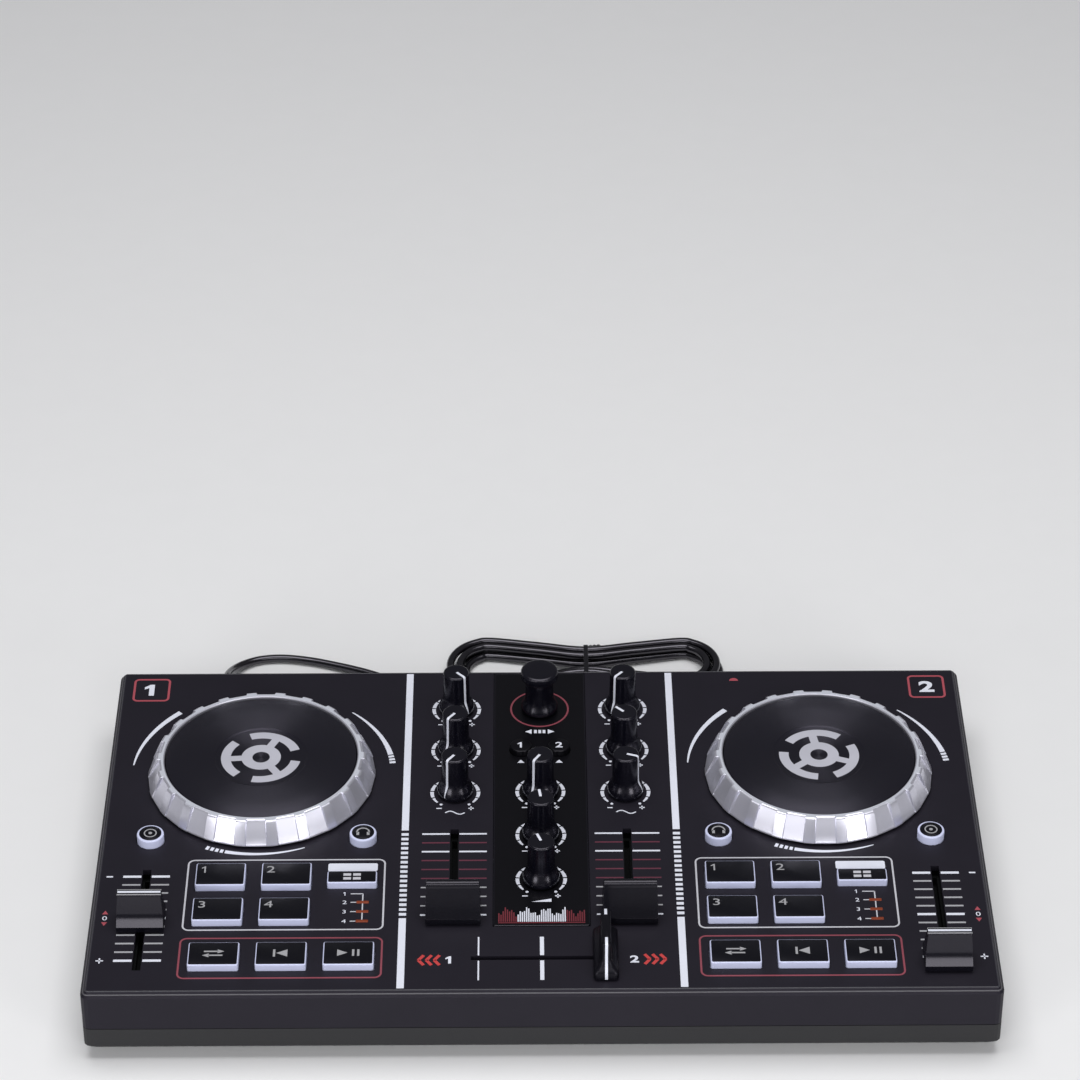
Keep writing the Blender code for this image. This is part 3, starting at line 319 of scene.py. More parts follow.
def finish(name, colour, rough, grain, relief, mottle=0.12, sockets=()):
    """Colour drifts by a share, the mottle, roughness by a tenth, and grain gives a bump of depth relief."""
    material = bpy.data.materials.new(name)
    material.use_nodes = True
    tree = material.node_tree
    make, link = tree.nodes.new, tree.links.new
    shader = tree.nodes["Principled BSDF"]
    for socket, value in dict(sockets).items():
        shader.inputs[socket].default_value = value
    where = make("ShaderNodeTexCoord").outputs["Object"]
    drift = make("ShaderNodeTexNoise")
    drift.inputs["Scale"].default_value = 1 / DRIFT_SIZE
    link(where, drift.inputs["Vector"])
    tone = make("ShaderNodeValToRGB")
    for stop, share in zip(tone.color_ramp.elements, (1 - mottle, 1 + mottle)):
        stop.color = (*(min(1.0, share * part) for part in colour), 1.0)
    link(drift.outputs["Fac"], tone.inputs["Fac"])
    link(tone.outputs["Color"], shader.inputs["Base Color"])
    fine = make("ShaderNodeTexNoise")
    fine.name = "grain"
    fine.inputs["Scale"].default_value = 1 / grain
    fine.inputs["Detail"].default_value = 3.0
    link(where, fine.inputs["Vector"])
    polish = make("ShaderNodeMapRange")
    polish.inputs["To Min"].default_value = 0.9 * rough
    polish.inputs["To Max"].default_value = 1.1 * rough
    link(fine.outputs["Fac"], polish.inputs["Value"])
    link(polish.outputs["Result"], shader.inputs["Roughness"])
    bump = make("ShaderNodeBump")
    bump.name = "bump"
    bump.inputs["Strength"].default_value = BUMP_STRENGTH
    bump.inputs["Distance"].default_value = relief
    link(fine.outputs["Fac"], bump.inputs["Height"])
    link(bump.outputs["Normal"], shader.inputs["Normal"])
    return material


COOL = (0.92, 0.88, 1.0, 1.0)
DULL = {"Specular IOR Level": 0.22, "Specular Tint": COOL}
MILD = {"Specular IOR Level": 0.42, "Specular Tint": COOL}
GLOSS = {"Specular IOR Level": 0.50, "Specular Tint": COOL}
SHINE = {"Specular IOR Level": 0.85, "Specular Tint": COOL}
RECORD = {"Specular IOR Level": 0.60, "Specular Tint": (0.84, 0.80, 1.0, 1.0)}
SATIN = {"Metallic": 0.75}
LACQUER = {"Metallic": 0.2}
FOIL = {"Metallic": 0.3}
METAL = {"Metallic": 1.0}
INK_ROUGH = 0.48
INK_TOOTH = 0.3 * MM
INK_RELIEF = 0.002 * MM


def printed(name, colour, mottle=0.12):
    """Screen-printed ink: one roughness and a fine tooth, whatever the colour."""
    return finish(name, colour, INK_ROUGH, INK_TOOTH, INK_RELIEF, mottle)


panel_black = finish("panel_black", (0.0124, 0.0110, 0.0168), 0.46, 0.35 * MM, 0.010 * MM, sockets=DULL)
face_black = finish("face_black", (0.0033, 0.0032, 0.0046), 0.30, 0.5 * MM, 0.002 * MM, sockets=DULL)
case_black = finish("case_black", (0.012, 0.012, 0.014), 0.62, 0.6 * MM, 0.030 * MM)
# the board is near black as painted shade, so that the slots above it read as dark gaps
board_painted_shade = finish("board_painted_shade", (0.0016, 0.0026, 0.0020), 0.75, 0.8 * MM, 0.010 * MM, sockets=DULL)
rubber = finish("rubber", (0.010, 0.010, 0.010), 0.85, 0.5 * MM, 0.020 * MM)
knob_black = finish("knob_black", (0.0030, 0.0029, 0.0062), 0.24, 0.3 * MM, 0.001 * MM, sockets=GLOSS)
cap_black = finish("cap_black", (0.0040, 0.0038, 0.0070), 0.20, 0.3 * MM, 0.001 * MM, sockets=GLOSS)
cap_line = finish("cap_line", (0.0034, 0.0033, 0.0058), 0.22, 0.3 * MM, 0.001 * MM, sockets=MILD)
cap_dull = finish("cap_dull", (0.0036, 0.0034, 0.0058), 0.34, 0.3 * MM, 0.002 * MM, sockets=DULL)
# the two bead greys are paler than the panel: painted highlights along the cover's rim
bead_painted_highlight_grey = finish("bead_painted_highlight_grey", (0.034, 0.033, 0.043), 0.34, 0.4 * MM, 0.004 * MM)
bead_painted_highlight_pale = finish("bead_painted_highlight_pale", (0.085, 0.082, 0.094), 0.34, 0.4 * MM, 0.004 * MM)
key_white = finish("key_white", (0.64, 0.67, 0.90), 0.40, 0.4 * MM, 0.003 * MM, mottle=0.04)
key_black = finish("key_black", (0.0040, 0.0041, 0.0066), 0.32, 0.4 * MM, 0.002 * MM, sockets=DULL)
# grey for the printed key signs, and on the pitch caps' ribs a painted highlight
grey_ink_and_painted_glint = finish("grey_ink_and_painted_glint", (0.36, 0.36, 0.38), 0.50, 0.3 * MM, 0.002 * MM)
ink_white = printed("ink_white", (0.77, 0.79, 0.89), 0.05)
ink_pale = printed("ink_pale", (0.56, 0.56, 0.61), 0.05)
ink_dim = printed("ink_dim", (0.40, 0.40, 0.43))
ink_red = printed("ink_red", (0.40, 0.070, 0.095), 0.06)
ink_bright_red = printed("ink_bright_red", (0.56, 0.050, 0.050), 0.06)
ink_wine = printed("ink_wine", (0.27, 0.055, 0.080), 0.06)
ink_deep_red = printed("ink_deep_red", (0.165, 0.018, 0.030))
ink_dark_red = printed("ink_dark_red", (0.12, 0.023, 0.046))
lamp_orange = finish("lamp_orange", (0.23, 0.040, 0.012), 0.30, 0.8 * MM, 0.004 * MM, mottle=0.2)
silver = finish("silver", (0.78, 0.775, 0.875), 0.30, 0.8 * MM, 0.0002 * MM, 0.03, SATIN)
rim_silver = finish("rim_silver", (0.64, 0.66, 0.74), 0.36, 0.8 * MM, 0.0002 * MM, 0.03, LACQUER)
emblem = finish("emblem", (0.62, 0.62, 0.70), 0.42, 0.3 * MM, 0.002 * MM, sockets=FOIL)
steel = finish("steel", (0.56, 0.57, 0.58), 0.32, 0.6 * MM, 0.004 * MM, sockets=METAL)
vinyl = finish("vinyl", (0.0044, 0.0042, 0.0058), 0.20, 1.2 * MM, 0.003 * MM, sockets=SHINE)
gold = finish("gold", (0.80, 0.55, 0.20), 0.30, 0.5 * MM, 0.002 * MM, sockets=METAL)
print(f"finishes: {len(bpy.data.materials)} materials in the file")

# %% [markdown]
# ## The lead
# The lead leaves the rear wall through a strain relief, drops to the desk, runs across behind the body and is
# put away as a tied hank. It is one cord from end to end, so it is one open curve with a round bevel. Its
# points are those of the CAD route: a spiral of long loops that goes in on the desk, climbs one layer along
# a run and comes out again. The loops are drawn in to a waist where the tie holds them.

# %% Route of the lead
CORD_DIAMETER = 3.4 * MM
CORD_FLOOR = CORD_DIAMETER / 2 + 0.6 * MM
BACK_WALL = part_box("bottom_case")[1].y
RELIEF_END = np.array([*middle_of("cord_gland"), 0.0])
RELIEF_END[1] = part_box("cord_gland")[1].y
RELIEF_END[2] = (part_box("cord_gland")[0].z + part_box("cord_gland")[1].z) / 2
HANK_MIDDLE = np.array([21.0, 40.0]) * MM + (0.0, BACK_WALL)
HANK_RUN = 84 * MM
HANK_FOLD = 3 * CORD_DIAMETER
HANK_STEP = CORD_DIAMETER + 0.9 * MM
HANK_LAYER = CORD_DIAMETER + 0.7 * MM
HANK_WAIST = (CORD_DIAMETER + 1.0 * MM) / 2
HANK_LIFT = 1.1 * MM
HANK_TURNS = 2
HANK_TAIL = 30 * MM
PLUG_LEVEL = 4.3 * MM
HANK_REACH = HANK_FOLD + HANK_TURNS * HANK_STEP
hank_start = np.array([HANK_MIDDLE[0] - HANK_RUN / 2, HANK_MIDDLE[1] - HANK_REACH, CORD_FLOOR])


def flowing(points, steps):
    """A Catmull-Rom curve: each stretch from b to c also leans on the neighbours a and d."""
    ends = np.vstack([points[:1], points, points[-1:]])
    a, b, c, d = (ends[k : len(ends) - 3 + k, None] for k in range(4))
    t = (np.arange(steps) / steps)[None, :, None]
    curve = 2 * b + (c - a) * t + (2 * a - 5 * b + 4 * c - d) * t**2 + (3 * b - a - 3 * c + d) * t**3
    return np.vstack([curve.reshape(-1, 3) / 2, points[-1:]])


def free_stretch():
    """From the strain relief over the desk to the hank: shares of the way across and of the drop."""
    share = np.array([0.0, 0.002, 0.018, 0.052, 0.113, 0.2, 0.304, 0.408, 0.513, 0.617, 0.722, 0.817])
    behind = np.array([27.0, 33.0, 40.0, 46.0, 50.0, 51.0, 49.0, 45.2, 40.5, 34.5, 28.3, 24.0]) * MM
    height = np.concatenate([[0.88, 0.62, 0.28, 0.06], np.zeros(len(share) - 4)])
    across = RELIEF_END[0] + (hank_start[0] - RELIEF_END[0]) * share
    level = CORD_FLOOR + (RELIEF_END[2] - CORD_FLOOR) * height
    lead_in = hank_start - (3 * CORD_DIAMETER, 0.0, 0.0)
    return np.vstack([RELIEF_END, np.column_stack([across, BACK_WALL + behind, level]), lead_in])


def hank_loops():
    """Loops of two runs and two folds: the radius shrinks a step a turn, then grows again one layer up."""
    run_steps, fold_steps = 4, 8
    per_turn = 2 * (run_steps + fold_steps)
    inward = HANK_TURNS * per_turn
    index = np.arange(2 * inward + run_steps + 1)
    turns_out = np.maximum(0, index - inward) / per_turn
    radius = HANK_REACH - HANK_STEP * (np.minimum(index, inward) / per_turn - turns_out)
    rise = np.clip((index - inward) / run_steps, 0, 1)
    half_turn = run_steps + fold_steps
    way = np.where(index % per_turn < half_turn, 1, -1)
    step = index % half_turn
    on_run = step < run_steps
    run_x = way * HANK_RUN * (step / run_steps - 0.5)
    drawn = np.where(on_run, np.cos(math.pi * run_x / HANK_RUN) ** 2, 0.0)
    bend = math.pi * ((step - run_steps) / fold_steps - 0.5)
    across = np.where(on_run, run_x, way * (HANK_RUN / 2 + radius * np.cos(bend)))
    deep = np.where(on_run, -way * (radius - (HANK_FOLD - HANK_WAIST) * drawn), way * radius * np.sin(bend))
    level = CORD_FLOOR + HANK_LIFT * drawn + HANK_LAYER * rise
    return np.column_stack([HANK_MIDDLE[0] + across, HANK_MIDDLE[1] + deep, level])


def tail_of(start):
    """The last stretch: straight on past the folds, then down to the height of the plug."""
    share = np.arange(1, 7) / 6
    drop = (PLUG_LEVEL - start[2]) * eased(0.4, 0.8, share)
    return start + np.column_stack([HANK_TAIL * share, 0 * share, drop])


loops = hank_loops()
route = np.vstack([free_stretch(), loops, tail_of(loops[-1])])
cord_line = flowing(route, 5)
cord_end = cord_line[-1]

# %% [markdown]
# The strain relief is a rubber sleeve that tapers towards the cord. Rings cut into it let it bend, so its
# radius is a straight taper less a row of rounded notches. It is turned about the cord's own axis.

# %% The cord and its strain relief
cord_curve = bpy.data.curves.new("usb_lead", "CURVE")
cord_curve.dimensions = "3D"
cord_curve.bevel_depth = CORD_DIAMETER / 2
cord_curve.bevel_resolution = 4
cord_curve.use_fill_caps = True
cord_spline = cord_curve.splines.new("POLY")
cord_spline.points.add(len(cord_line) - 1)
cord_spline.points.foreach_set("co", np.column_stack([cord_line, np.ones(len(cord_line))]).ravel())
cord_curve.materials.append(vinyl)
lead = bpy.data.objects.new("usb_lead", cord_curve)
scene.collection.objects.link(lead)
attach(lead, "housing")
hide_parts("cord_lead", "cord_hank")


def turned_along_y(profile, centre, steps=32):
    """A profile (radius, distance) turned about an axis that runs back along Y."""
    points, faces = turned(profile, (0.0, 0.0), steps)
    return np.column_stack([points[:, 0], points[:, 2], -points[:, 1]]) + centre, faces


RELIEF_ROOT = 3.6 * MM
RELIEF_TAPER = 1.0 * MM
RELIEF_NOTCHES = 7
NOTCH_DEPTH = 0.55 * MM
relief_share = np.linspace(0, 1, 57)
notched = (relief_share > 0.1) * (relief_share < 0.96)
relief_notch = np.clip(np.sin(relief_share * TURN * RELIEF_NOTCHES), 0, 1) * notched
relief_radius = RELIEF_ROOT - RELIEF_TAPER * relief_share - NOTCH_DEPTH * relief_notch
relief_length = RELIEF_END[1] - BACK_WALL
relief_sleeve = np.column_stack([relief_radius, relief_length * relief_share])
# the collar that holds the sleeve inside the wall
relief_inside = np.array([(0.0, -6.0), (4.5, -6.0), (4.5, -4.8), (3.6, -4.8)]) * MM
relief_profile = np.vstack([relief_inside, relief_sleeve, [(0.0, relief_length)]])
relief_place = (RELIEF_END[0], BACK_WALL, RELIEF_END[2])
piece(
    "strain_relief",
    [(turned_along_y(relief_profile, relief_place), rubber)],
    instead_of=["cord_gland"],
)
relief_wide, relief_thin = 2 * RELIEF_ROOT / MM, 2 * (RELIEF_ROOT - RELIEF_TAPER) / MM
print(f"strain relief: {relief_length / MM:.0f} mm, from {relief_wide:.1f} to {relief_thin:.1f} mm across")

# %% [markdown]
# The tie is a coated wire strip, drawn taut round the waist of the hank. In each direction it rests on the
# strand that lies farthest that way, so the loop follows from where the cord crosses the waist. Its two ends
# are twisted together behind and lie beside the cord: two round strands, each a circle carried along a helix.

# %% Twist tie
TIE_WIDTH = 2.0 * MM
TIE_THICK = 0.7 * MM
TIE_STEPS = 96
TIE_X = HANK_MIDDLE[0]
hank_line = flowing(loops, 5)
hank_ahead = hank_line[1:, 0] - TIE_X
hank_behind = hank_line[:-1, 0] - TIE_X
crossing = np.flatnonzero((hank_behind < 0) != (hank_ahead < 0))
crossing_share = (hank_behind / (hank_behind - hank_ahead))[crossing, None]
strands = hank_line[crossing] + crossing_share * (hank_line[crossing + 1] - hank_line[crossing])
strands = strands[:, 1:]


def tie_edge(lift):
    """A taut loop: in each direction the farthest strand, plus the cord's radius and a lift that way."""
    angle = np.arange(TIE_STEPS) * TURN / TIE_STEPS
    way = np.column_stack([np.cos(angle), np.sin(angle)])
    farthest = np.argmax(way @ strands.T, axis=1)
    return strands[farthest] + (CORD_DIAMETER / 2 + lift) * way


# lift in mm and side of the six edges round the strip's cross-section
tie_rings = [(0.6, -1.0), (0.7, -0.9), (0.7, 0.9), (0.6, 1.0), (0.05, 1.0), (0.05, -1.0)]
tie_points = []
for tie_lift, tie_side in tie_rings:
    tie_line = tie_edge(tie_lift * MM)
    tie_across = np.full(len(tie_line), TIE_X + tie_side * TIE_WIDTH / 2)
    tie_points.append(np.column_stack([tie_across, tie_line]))
tie_back, tie_level = tie_edge(TIE_THICK).max(axis=0)


def strand(path, radius, sides=8):
    """A circle carried along a path; two directions across the path come from its own tangent."""
    ahead = unit(np.gradient(path, axis=0))
    first = unit(np.cross(ahead, np.array([0.0, 1.0, 0.0])))
    second = np.cross(ahead, first)
    angle = np.arange(sides) * TURN / sides
    around = np.cos(angle)[None, :, None] * first[:, None] + np.sin(angle)[None, :, None] * second[:, None]
    return skin(path[:, None] + radius * around, wrap_v=True, caps=True)


TWIST_TURNS = 2.0
TWIST_RADIUS = 0.65 * MM
WIRE_RADIUS = 0.5 * MM


def twisted_end(phase):
    """A helix about a line that leaves the back of the tie and lies down beside the hank."""
    share = np.linspace(0, 1, 37)
    turn = TURN * TWIST_TURNS * share + phase
    across = TIE_X + 7 * MM * share
    deep = tie_back + 0.4 * MM + 3.5 * MM * share + TWIST_RADIUS * np.cos(turn)
    level = tie_level - 3.2 * MM - 2.0 * MM * share + TWIST_RADIUS * np.sin(turn)
    return strand(np.column_stack([across, deep, level]), WIRE_RADIUS)


tie_patches = [(skin(np.stack(tie_points), wrap_u=True, wrap_v=True), vinyl)]
tie_patches += [(twisted_end(phase), vinyl) for phase in (0.0, math.pi)]
tie = piece("twist_tie", tie_patches, instead_of=["cord_tie"])
print(f"tie: round {len(strands)} strands, {np.ptp(tie_edge(TIE_THICK), axis=0).round(4) / MM} mm over all")

# %% [markdown]
# The plug is a moulded grip and a folded steel shell. The grip's cross-section swells from the neck to its
# full width, with shallow finger ribs. The shell is a thin open box, with an insulating tongue inside and
# four gold contacts on it.

# %% USB plug
GRIP_LENGTH = 28 * MM
GRIP_HALF = (7.9 * MM, 4.0 * MM)
NECK_HALF = (3.2 * MM, 2.3 * MM)
SHELL_HALF = (6.0 * MM, 2.25 * MM)
SHELL_WALL = 0.35 * MM
SHELL_LENGTH = 12.0 * MM
GRIP_RIB = 0.35 * MM
GRIP_CORNER = 1.6 * MM
FINGER_PITCH = 0.08
NECK_END = 0.30
PLUG_GAP = 0.3 * MM
plug_start = cord_end + (PLUG_GAP, 0.0, 0.0)


def along_x(patch, start):
    """Turns a shape that was stacked upwards so that it lies along +X from a start point."""
    points, faces = patch
    return np.column_stack([points[:, 2], points[:, 0], points[:, 1]]) + start, faces


neck_share = [0, 0.06, 0.12, 0.18, 0.24, 0.30, 0.36]
ribbed_share = [0.40, 0.44, 0.48, 0.52, 0.56, 0.60, 0.64]
grip_share = np.array(neck_share + ribbed_share + [0.95, 0.985, 1])
grip_swell = eased(0, NECK_END, grip_share)
ribbed = (grip_share > 0.37) & (grip_share < 0.63)
grip_rib = np.where(ribbed, GRIP_RIB * np.cos(grip_share * TURN / FINGER_PITCH), 0.0)
grip_round = np.where(grip_share > 0.99, 0.5 * MM, np.where(grip_share > 0.98, 0.15 * MM, 0.0))
grip_halves = [
    neck + (full - neck) * grip_swell - GRIP_RIB * (grip_rib != 0) + grip_rib - grip_round
    for neck, full in zip(NECK_HALF, GRIP_HALF)
]
grip_rows = list(zip(*grip_halves, np.full(len(grip_share), GRIP_CORNER), GRIP_LENGTH * grip_share))
plug_grip = piece(
    "plug_grip",
    [(along_x(stacked(grip_rows, (0, 0)), plug_start), vinyl)],
    instead_of=["usb_plug_grip"],
    edge=50.0,
)
shell_start = plug_start + (GRIP_LENGTH + PLUG_GAP, 0.0, 0.0)
shell_rows = [(*SHELL_HALF, 0.5 * MM, level) for level in (-1.0 * MM, SHELL_LENGTH)]
bore_half = (SHELL_HALF[0] - SHELL_WALL, SHELL_HALF[1] - SHELL_WALL)
shell_rows += [(*bore_half, 0.2 * MM, level) for level in (SHELL_LENGTH, 1.0 * MM)]
tongue_half = (bore_half[0] - 0.3 * MM, 0.9 * MM)
tongue_start = shell_start + (0.5 * MM, 0.0, 0.9 * MM)
tongue = stacked([(*tongue_half, 0.1 * MM, level) for level in (0.0, 10.7 * MM)], (0, 0))
plug_patches = [
    (along_x(stacked(shell_rows, (0, 0)), shell_start), steel),
    (along_x(tongue, tongue_start), key_black),
]
for contact in (-3.5, -1.0, 1.0, 3.5):
    strip = stacked([(0.5 * MM, 0.1 * MM, 0.05 * MM, level * MM) for level in (1.0, 10.0)], (0, 0))
    plug_patches.append((along_x(strip, tongue_start + (0.0, contact * MM, -0.95 * MM)), gold))
plug_shell = piece("plug_shell", plug_patches, instead_of=["usb_plug_shell"])
print(f"plug: grip {GRIP_LENGTH / MM:.0f} mm long at {np.round(plug_start / MM, 1)} mm")

# %% [markdown]
# ## Desk and light
# The desk is a plain pale sheet that runs out past every view. One large softbox hangs over the controller,
# and two smaller ones stand low to the left and right: they give the twin spots on the feet of the knobs.
# Between them a dim white card fills the front, and shows as a pale band on the flared foot of the pitch
# caps. Together with an even grey surround they light a white surface to just about white.

# %% Desk and light
DESK_REACH = 12.0
desk_line = np.linspace(-DESK_REACH, DESK_REACH, 3)
desk_grid = np.stack([*np.meshgrid(desk_line, desk_line, indexing="ij"), np.zeros((3, 3))], axis=-1)
desk_points, desk_faces = skin(desk_grid)
desk_mesh = bpy.data.meshes.new("desk")
desk_mesh.from_pydata(desk_points.tolist(), [], desk_faces[0][:, ::-1].tolist())
desk_mesh.materials.append(finish("desk_pale", (0.87, 0.87, 0.88), 0.7, 2.0 * MM, 0.01 * MM, mottle=0.01))
desk = bpy.data.objects.new("desk", desk_mesh)
scene.collection.objects.link(desk)


def softbox(name, place, aim, size, watts):
    """An area lamp of a width and height that shines from its place towards its aim."""
    light = bpy.data.lights.new(name, "AREA")
    light.shape = "RECTANGLE"
    light.size, light.size_y = size
    light.energy = watts
    lamp = bpy.data.objects.new(name, light)
    lamp.location = place
    lamp.rotation_euler = (Vector(aim) - Vector(place)).to_track_quat("-Z", "Y").to_euler()
    scene.collection.objects.link(lamp)


MIDDLE = (0.0, 0.0, 0.0)
softbox("overhead", (0.0, 0.0, 1.75), MIDDLE, (1.5, 1.1), 20.5)
for side, sign in SIDES:
    softbox(f"front_{side}", (sign * 1.02, -1.30, 0.44), MIDDLE, (0.6, 0.5), 6.0)
softbox("front_card", (0.0, -1.46, 1.10), MIDDLE, (1.3, 0.5), 8.2)
surround = bpy.data.worlds.new("surround")
surround.use_nodes = True
backdrop = surround.node_tree.nodes["Background"]
backdrop.inputs["Color"].default_value = (0.96, 0.97, 1.0, 1.0)
backdrop.inputs["Strength"].default_value = 0.15
scene.world = surround
print("desk, three softboxes and a white card in place")

# %% [markdown]
# ## Shell of the controller
# The cover, faceplate, bottom tray, board, sockets and spindles have the right shape already, so the CAD
# nodes stay and only take a finish. The board's near black is painted shade, so that the slots read as dark
# gaps. A moulded cover is never knife-sharp: along its rim run two fine beads, one where the panel breaks
# into the chamfer and one halfway down the chamfer. They are a small round profile carried round the body's
# outline, and their greys, paler than the panel, are painted highlights that show them as two thin lines.

# %% Shell finishes and rims
for node, material in (
    ("top_cover", panel_black),
    ("mixer_faceplate", face_black),
    ("bottom_case", case_black),
    ("main_board", board_painted_shade),
    ("main_output_jack", case_black),
    ("headphone_jack", case_black),
    ("jog_spindle_left", steel),
    ("jog_spindle_right", steel),
    ("browse_shaft", steel),
):
    nodes[node].material_slots[0].material = material


def rim(half_x, half_y, corner, middle, profile):
    """A small closed profile of inset and height, carried round a rounded rectangle."""
    points = []
    for inset, level in profile:
        curve = corner - min(inset, 0.8 * corner)
        line = rounded_loop(half_x - inset, half_y - inset, curve, 8) + middle
        points.append(at_level(line, level))
    return skin(np.stack(points), wrap_u=True, wrap_v=True)


def bead(inset, drop, radius):
    """A round profile whose middle lies at an inset from the outline and a drop below the panel."""
    angle = np.arange(10) * TURN / 10
    return np.column_stack([inset + radius * np.cos(angle), PANEL - drop + radius * np.sin(angle)])


BODY_HALF = (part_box("top_cover")[1].x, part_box("top_cover")[1].y)
CHAMFER = 2.2 * MM
BODY_CORNER = 3.0 * MM
upper_bead = bead(CHAMFER + 0.05 * MM, 0.22 * MM, 0.34 * MM)
lower_bead = bead(CHAMFER / 2 + 0.10 * MM, CHAMFER / 2 + 0.10 * MM, 0.32 * MM)
# both beads are paler than the panel, a painted highlight that draws the rim as two light lines
beads = [(rim(*BODY_HALF, BODY_CORNER, (0, 0), upper_bead), bead_painted_highlight_grey)]
beads.append((rim(*BODY_HALF, BODY_CORNER, (0, 0), lower_bead), bead_painted_highlight_pale))
piece("cover_rim", beads, edge=60.0)
face_low, face_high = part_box("mixer_faceplate")
face_half = ((face_high.x - face_low.x) / 2, (face_high.y - face_low.y) / 2)
face_rim = np.array([(0.5, -0.02), (0.35, 0.05), (0.1, 0.03), (-0.05, -0.06), (-0.1, -0.3), (0.5, -0.4)]) * MM
face_rim = face_rim + (0.0, FACE)
piece(
    "faceplate_rim",
    [(rim(*face_half, 1.0 * MM, middle_of("mixer_faceplate"), face_rim), cap_black)],
    edge=60.0,
)
body_size = 2 * np.array(BODY_HALF) / MM
print(f"rims: {body_size[0]:.0f} by {body_size[1]:.0f} mm body, {2 * face_half[0] / MM:.1f} mm faceplate")

# %% [markdown]
# ## Jog wheels
# The ring is a bright plated cone. Wide flats are scooped out of it, and narrow ribs stay between them at the
# full cone. So the radius depends on both parameters: the profile gives the cone, and round the turn the
# flats take a chord's share and a little depth away, most near the top edge, where they notch the rim. A thin
# paler lip, made the same way from its own few rows, lies on the rim.

# %% Jog ring
JOG_FLATS = 22
RIB_HALF = math.radians(2.7)
RIB_RAMP = math.radians(0.40)
RIB_SHARES = np.linspace(-1, 1, 5)
FLAT_STEPS = 9
SCOOP_DEPTH = 1.1 * MM
jog_low, jog_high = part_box("jog_ring_left")
JOG_BOTTOM = jog_low.z - PANEL
JOG_TOP = jog_high.z - PANEL
# radius, height above the panel and share of the scoop, from the foot outside, over the rim, to the inside
ring_rows = np.array(
    [
        (45.3, JOG_BOTTOM / MM, 0.0),
        (46.9, JOG_BOTTOM / MM, 0.1),
        (47.2, JOG_BOTTOM / MM + 0.3, 0.15),
        (47.2, JOG_BOTTOM / MM + 0.8, 0.2),
        (47.0, 2.3, 0.3),
        (46.1, 4.5, 0.5),
        (45.2, 6.7, 0.7),
        (44.3, 8.9, 0.9),
        (43.75, 10.1, 1.0),
        (43.45, 10.7, 1.0),
        (43.1, 11.05, 1.0),
        (42.7, JOG_TOP / MM, 0.95),
        (40.4, JOG_TOP / MM, 0.0),
        (40.05, 10.9, 0.0),
        (40.0, 8.6, 0.0),
        (41.3, 8.5, 0.0),
    ]
)
lip_rows = np.array(
    [
        (40.5, JOG_TOP / MM - 0.20, 0.0),
        (42.55, JOG_TOP / MM - 0.20, 0.95),
        (42.55, JOG_TOP / MM + 0.03, 0.95),
        (40.5, JOG_TOP / MM + 0.03, 0.0),
    ]
)


def jog_ring(centre, rows):
    """Radius(profile, angle) = cone x chord share - scoop depth, in full on the flats and not on the ribs."""
    pitch = TURN / JOG_FLATS
    across_flat = np.linspace(RIB_HALF + RIB_RAMP, pitch - RIB_HALF - RIB_RAMP, FLAT_STEPS)
    local = np.concatenate([RIB_SHARES * RIB_HALF, across_flat])
    wide = np.arange(len(local)) >= len(RIB_SHARES)
    angle = (np.arange(JOG_FLATS)[:, None] * pitch + local).ravel()
    flat = np.tile(wide, JOG_FLATS).astype(float)
    chord = np.cos(pitch / 2 - RIB_HALF) / np.cos(np.clip(local - pitch / 2, -pitch / 2, pitch / 2))
    chord = np.tile(np.where(wide, np.minimum(chord, 1.0), 1.0), JOG_FLATS)
    cone, level, scoop = rows[:, :1] * MM, rows[:, 1:2] * MM, rows[:, 2:]
    radius = cone * (1 - np.minimum(1, 4 * scoop) * (1 - chord)) - SCOOP_DEPTH * scoop * flat
    return spun(centre, radius, angle, PANEL + level, closed=True)


for side, _ in SIDES:
    wheel = middle_of(f"jog_plate_{side}")
    piece(
        f"jog_ring_{side}_plated",
        [(jog_ring(wheel, ring_rows), silver), (jog_ring(wheel, lip_rows), rim_silver)],
        body=f"jog_{side}",
        instead_of=[f"jog_ring_{side}"],
        edge=12.0,
    )
print(f"jog rings: {JOG_FLATS} flats on a cone of {2 * ring_rows[:, 0].max():.1f} mm")

# %% [markdown]
# The top of the wheel is a satin black disc, turned like a record. Its fine concentric lines stretch the
# light into a bow that runs front to back. They are far too fine for geometry, so a ring wave on Object
# coordinates bumps the surface, with a Mapping node that centres it on the wheel. The mark in the middle is a
# plain broken ring with three arms round a hub, printed in a shallow recess.

# %% Jog plate
GROOVE = 0.42 * MM
GROOVE_DEPTH = 0.05 * MM
RECESS_RADIUS = 19.2 * MM
RECESS_DEPTH = 0.3 * MM
MARK_RADIUS = 14.6 * MM
MARK_SWEEP = 92
MARK_HEADINGS = (-20.0, 65.0)
ARM_REACH = (7.5 * MM, 13 * MM)
HUB_RADIUS = 8.0 * MM
HUB_BORE = 3.4 * MM
LEDGE_RADIUS = 40.8 * MM
PLATE_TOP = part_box("jog_plate_left")[1].z
PLATE_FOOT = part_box("jog_plate_left")[0].z
PLATE_RADIUS = 39.6 * MM


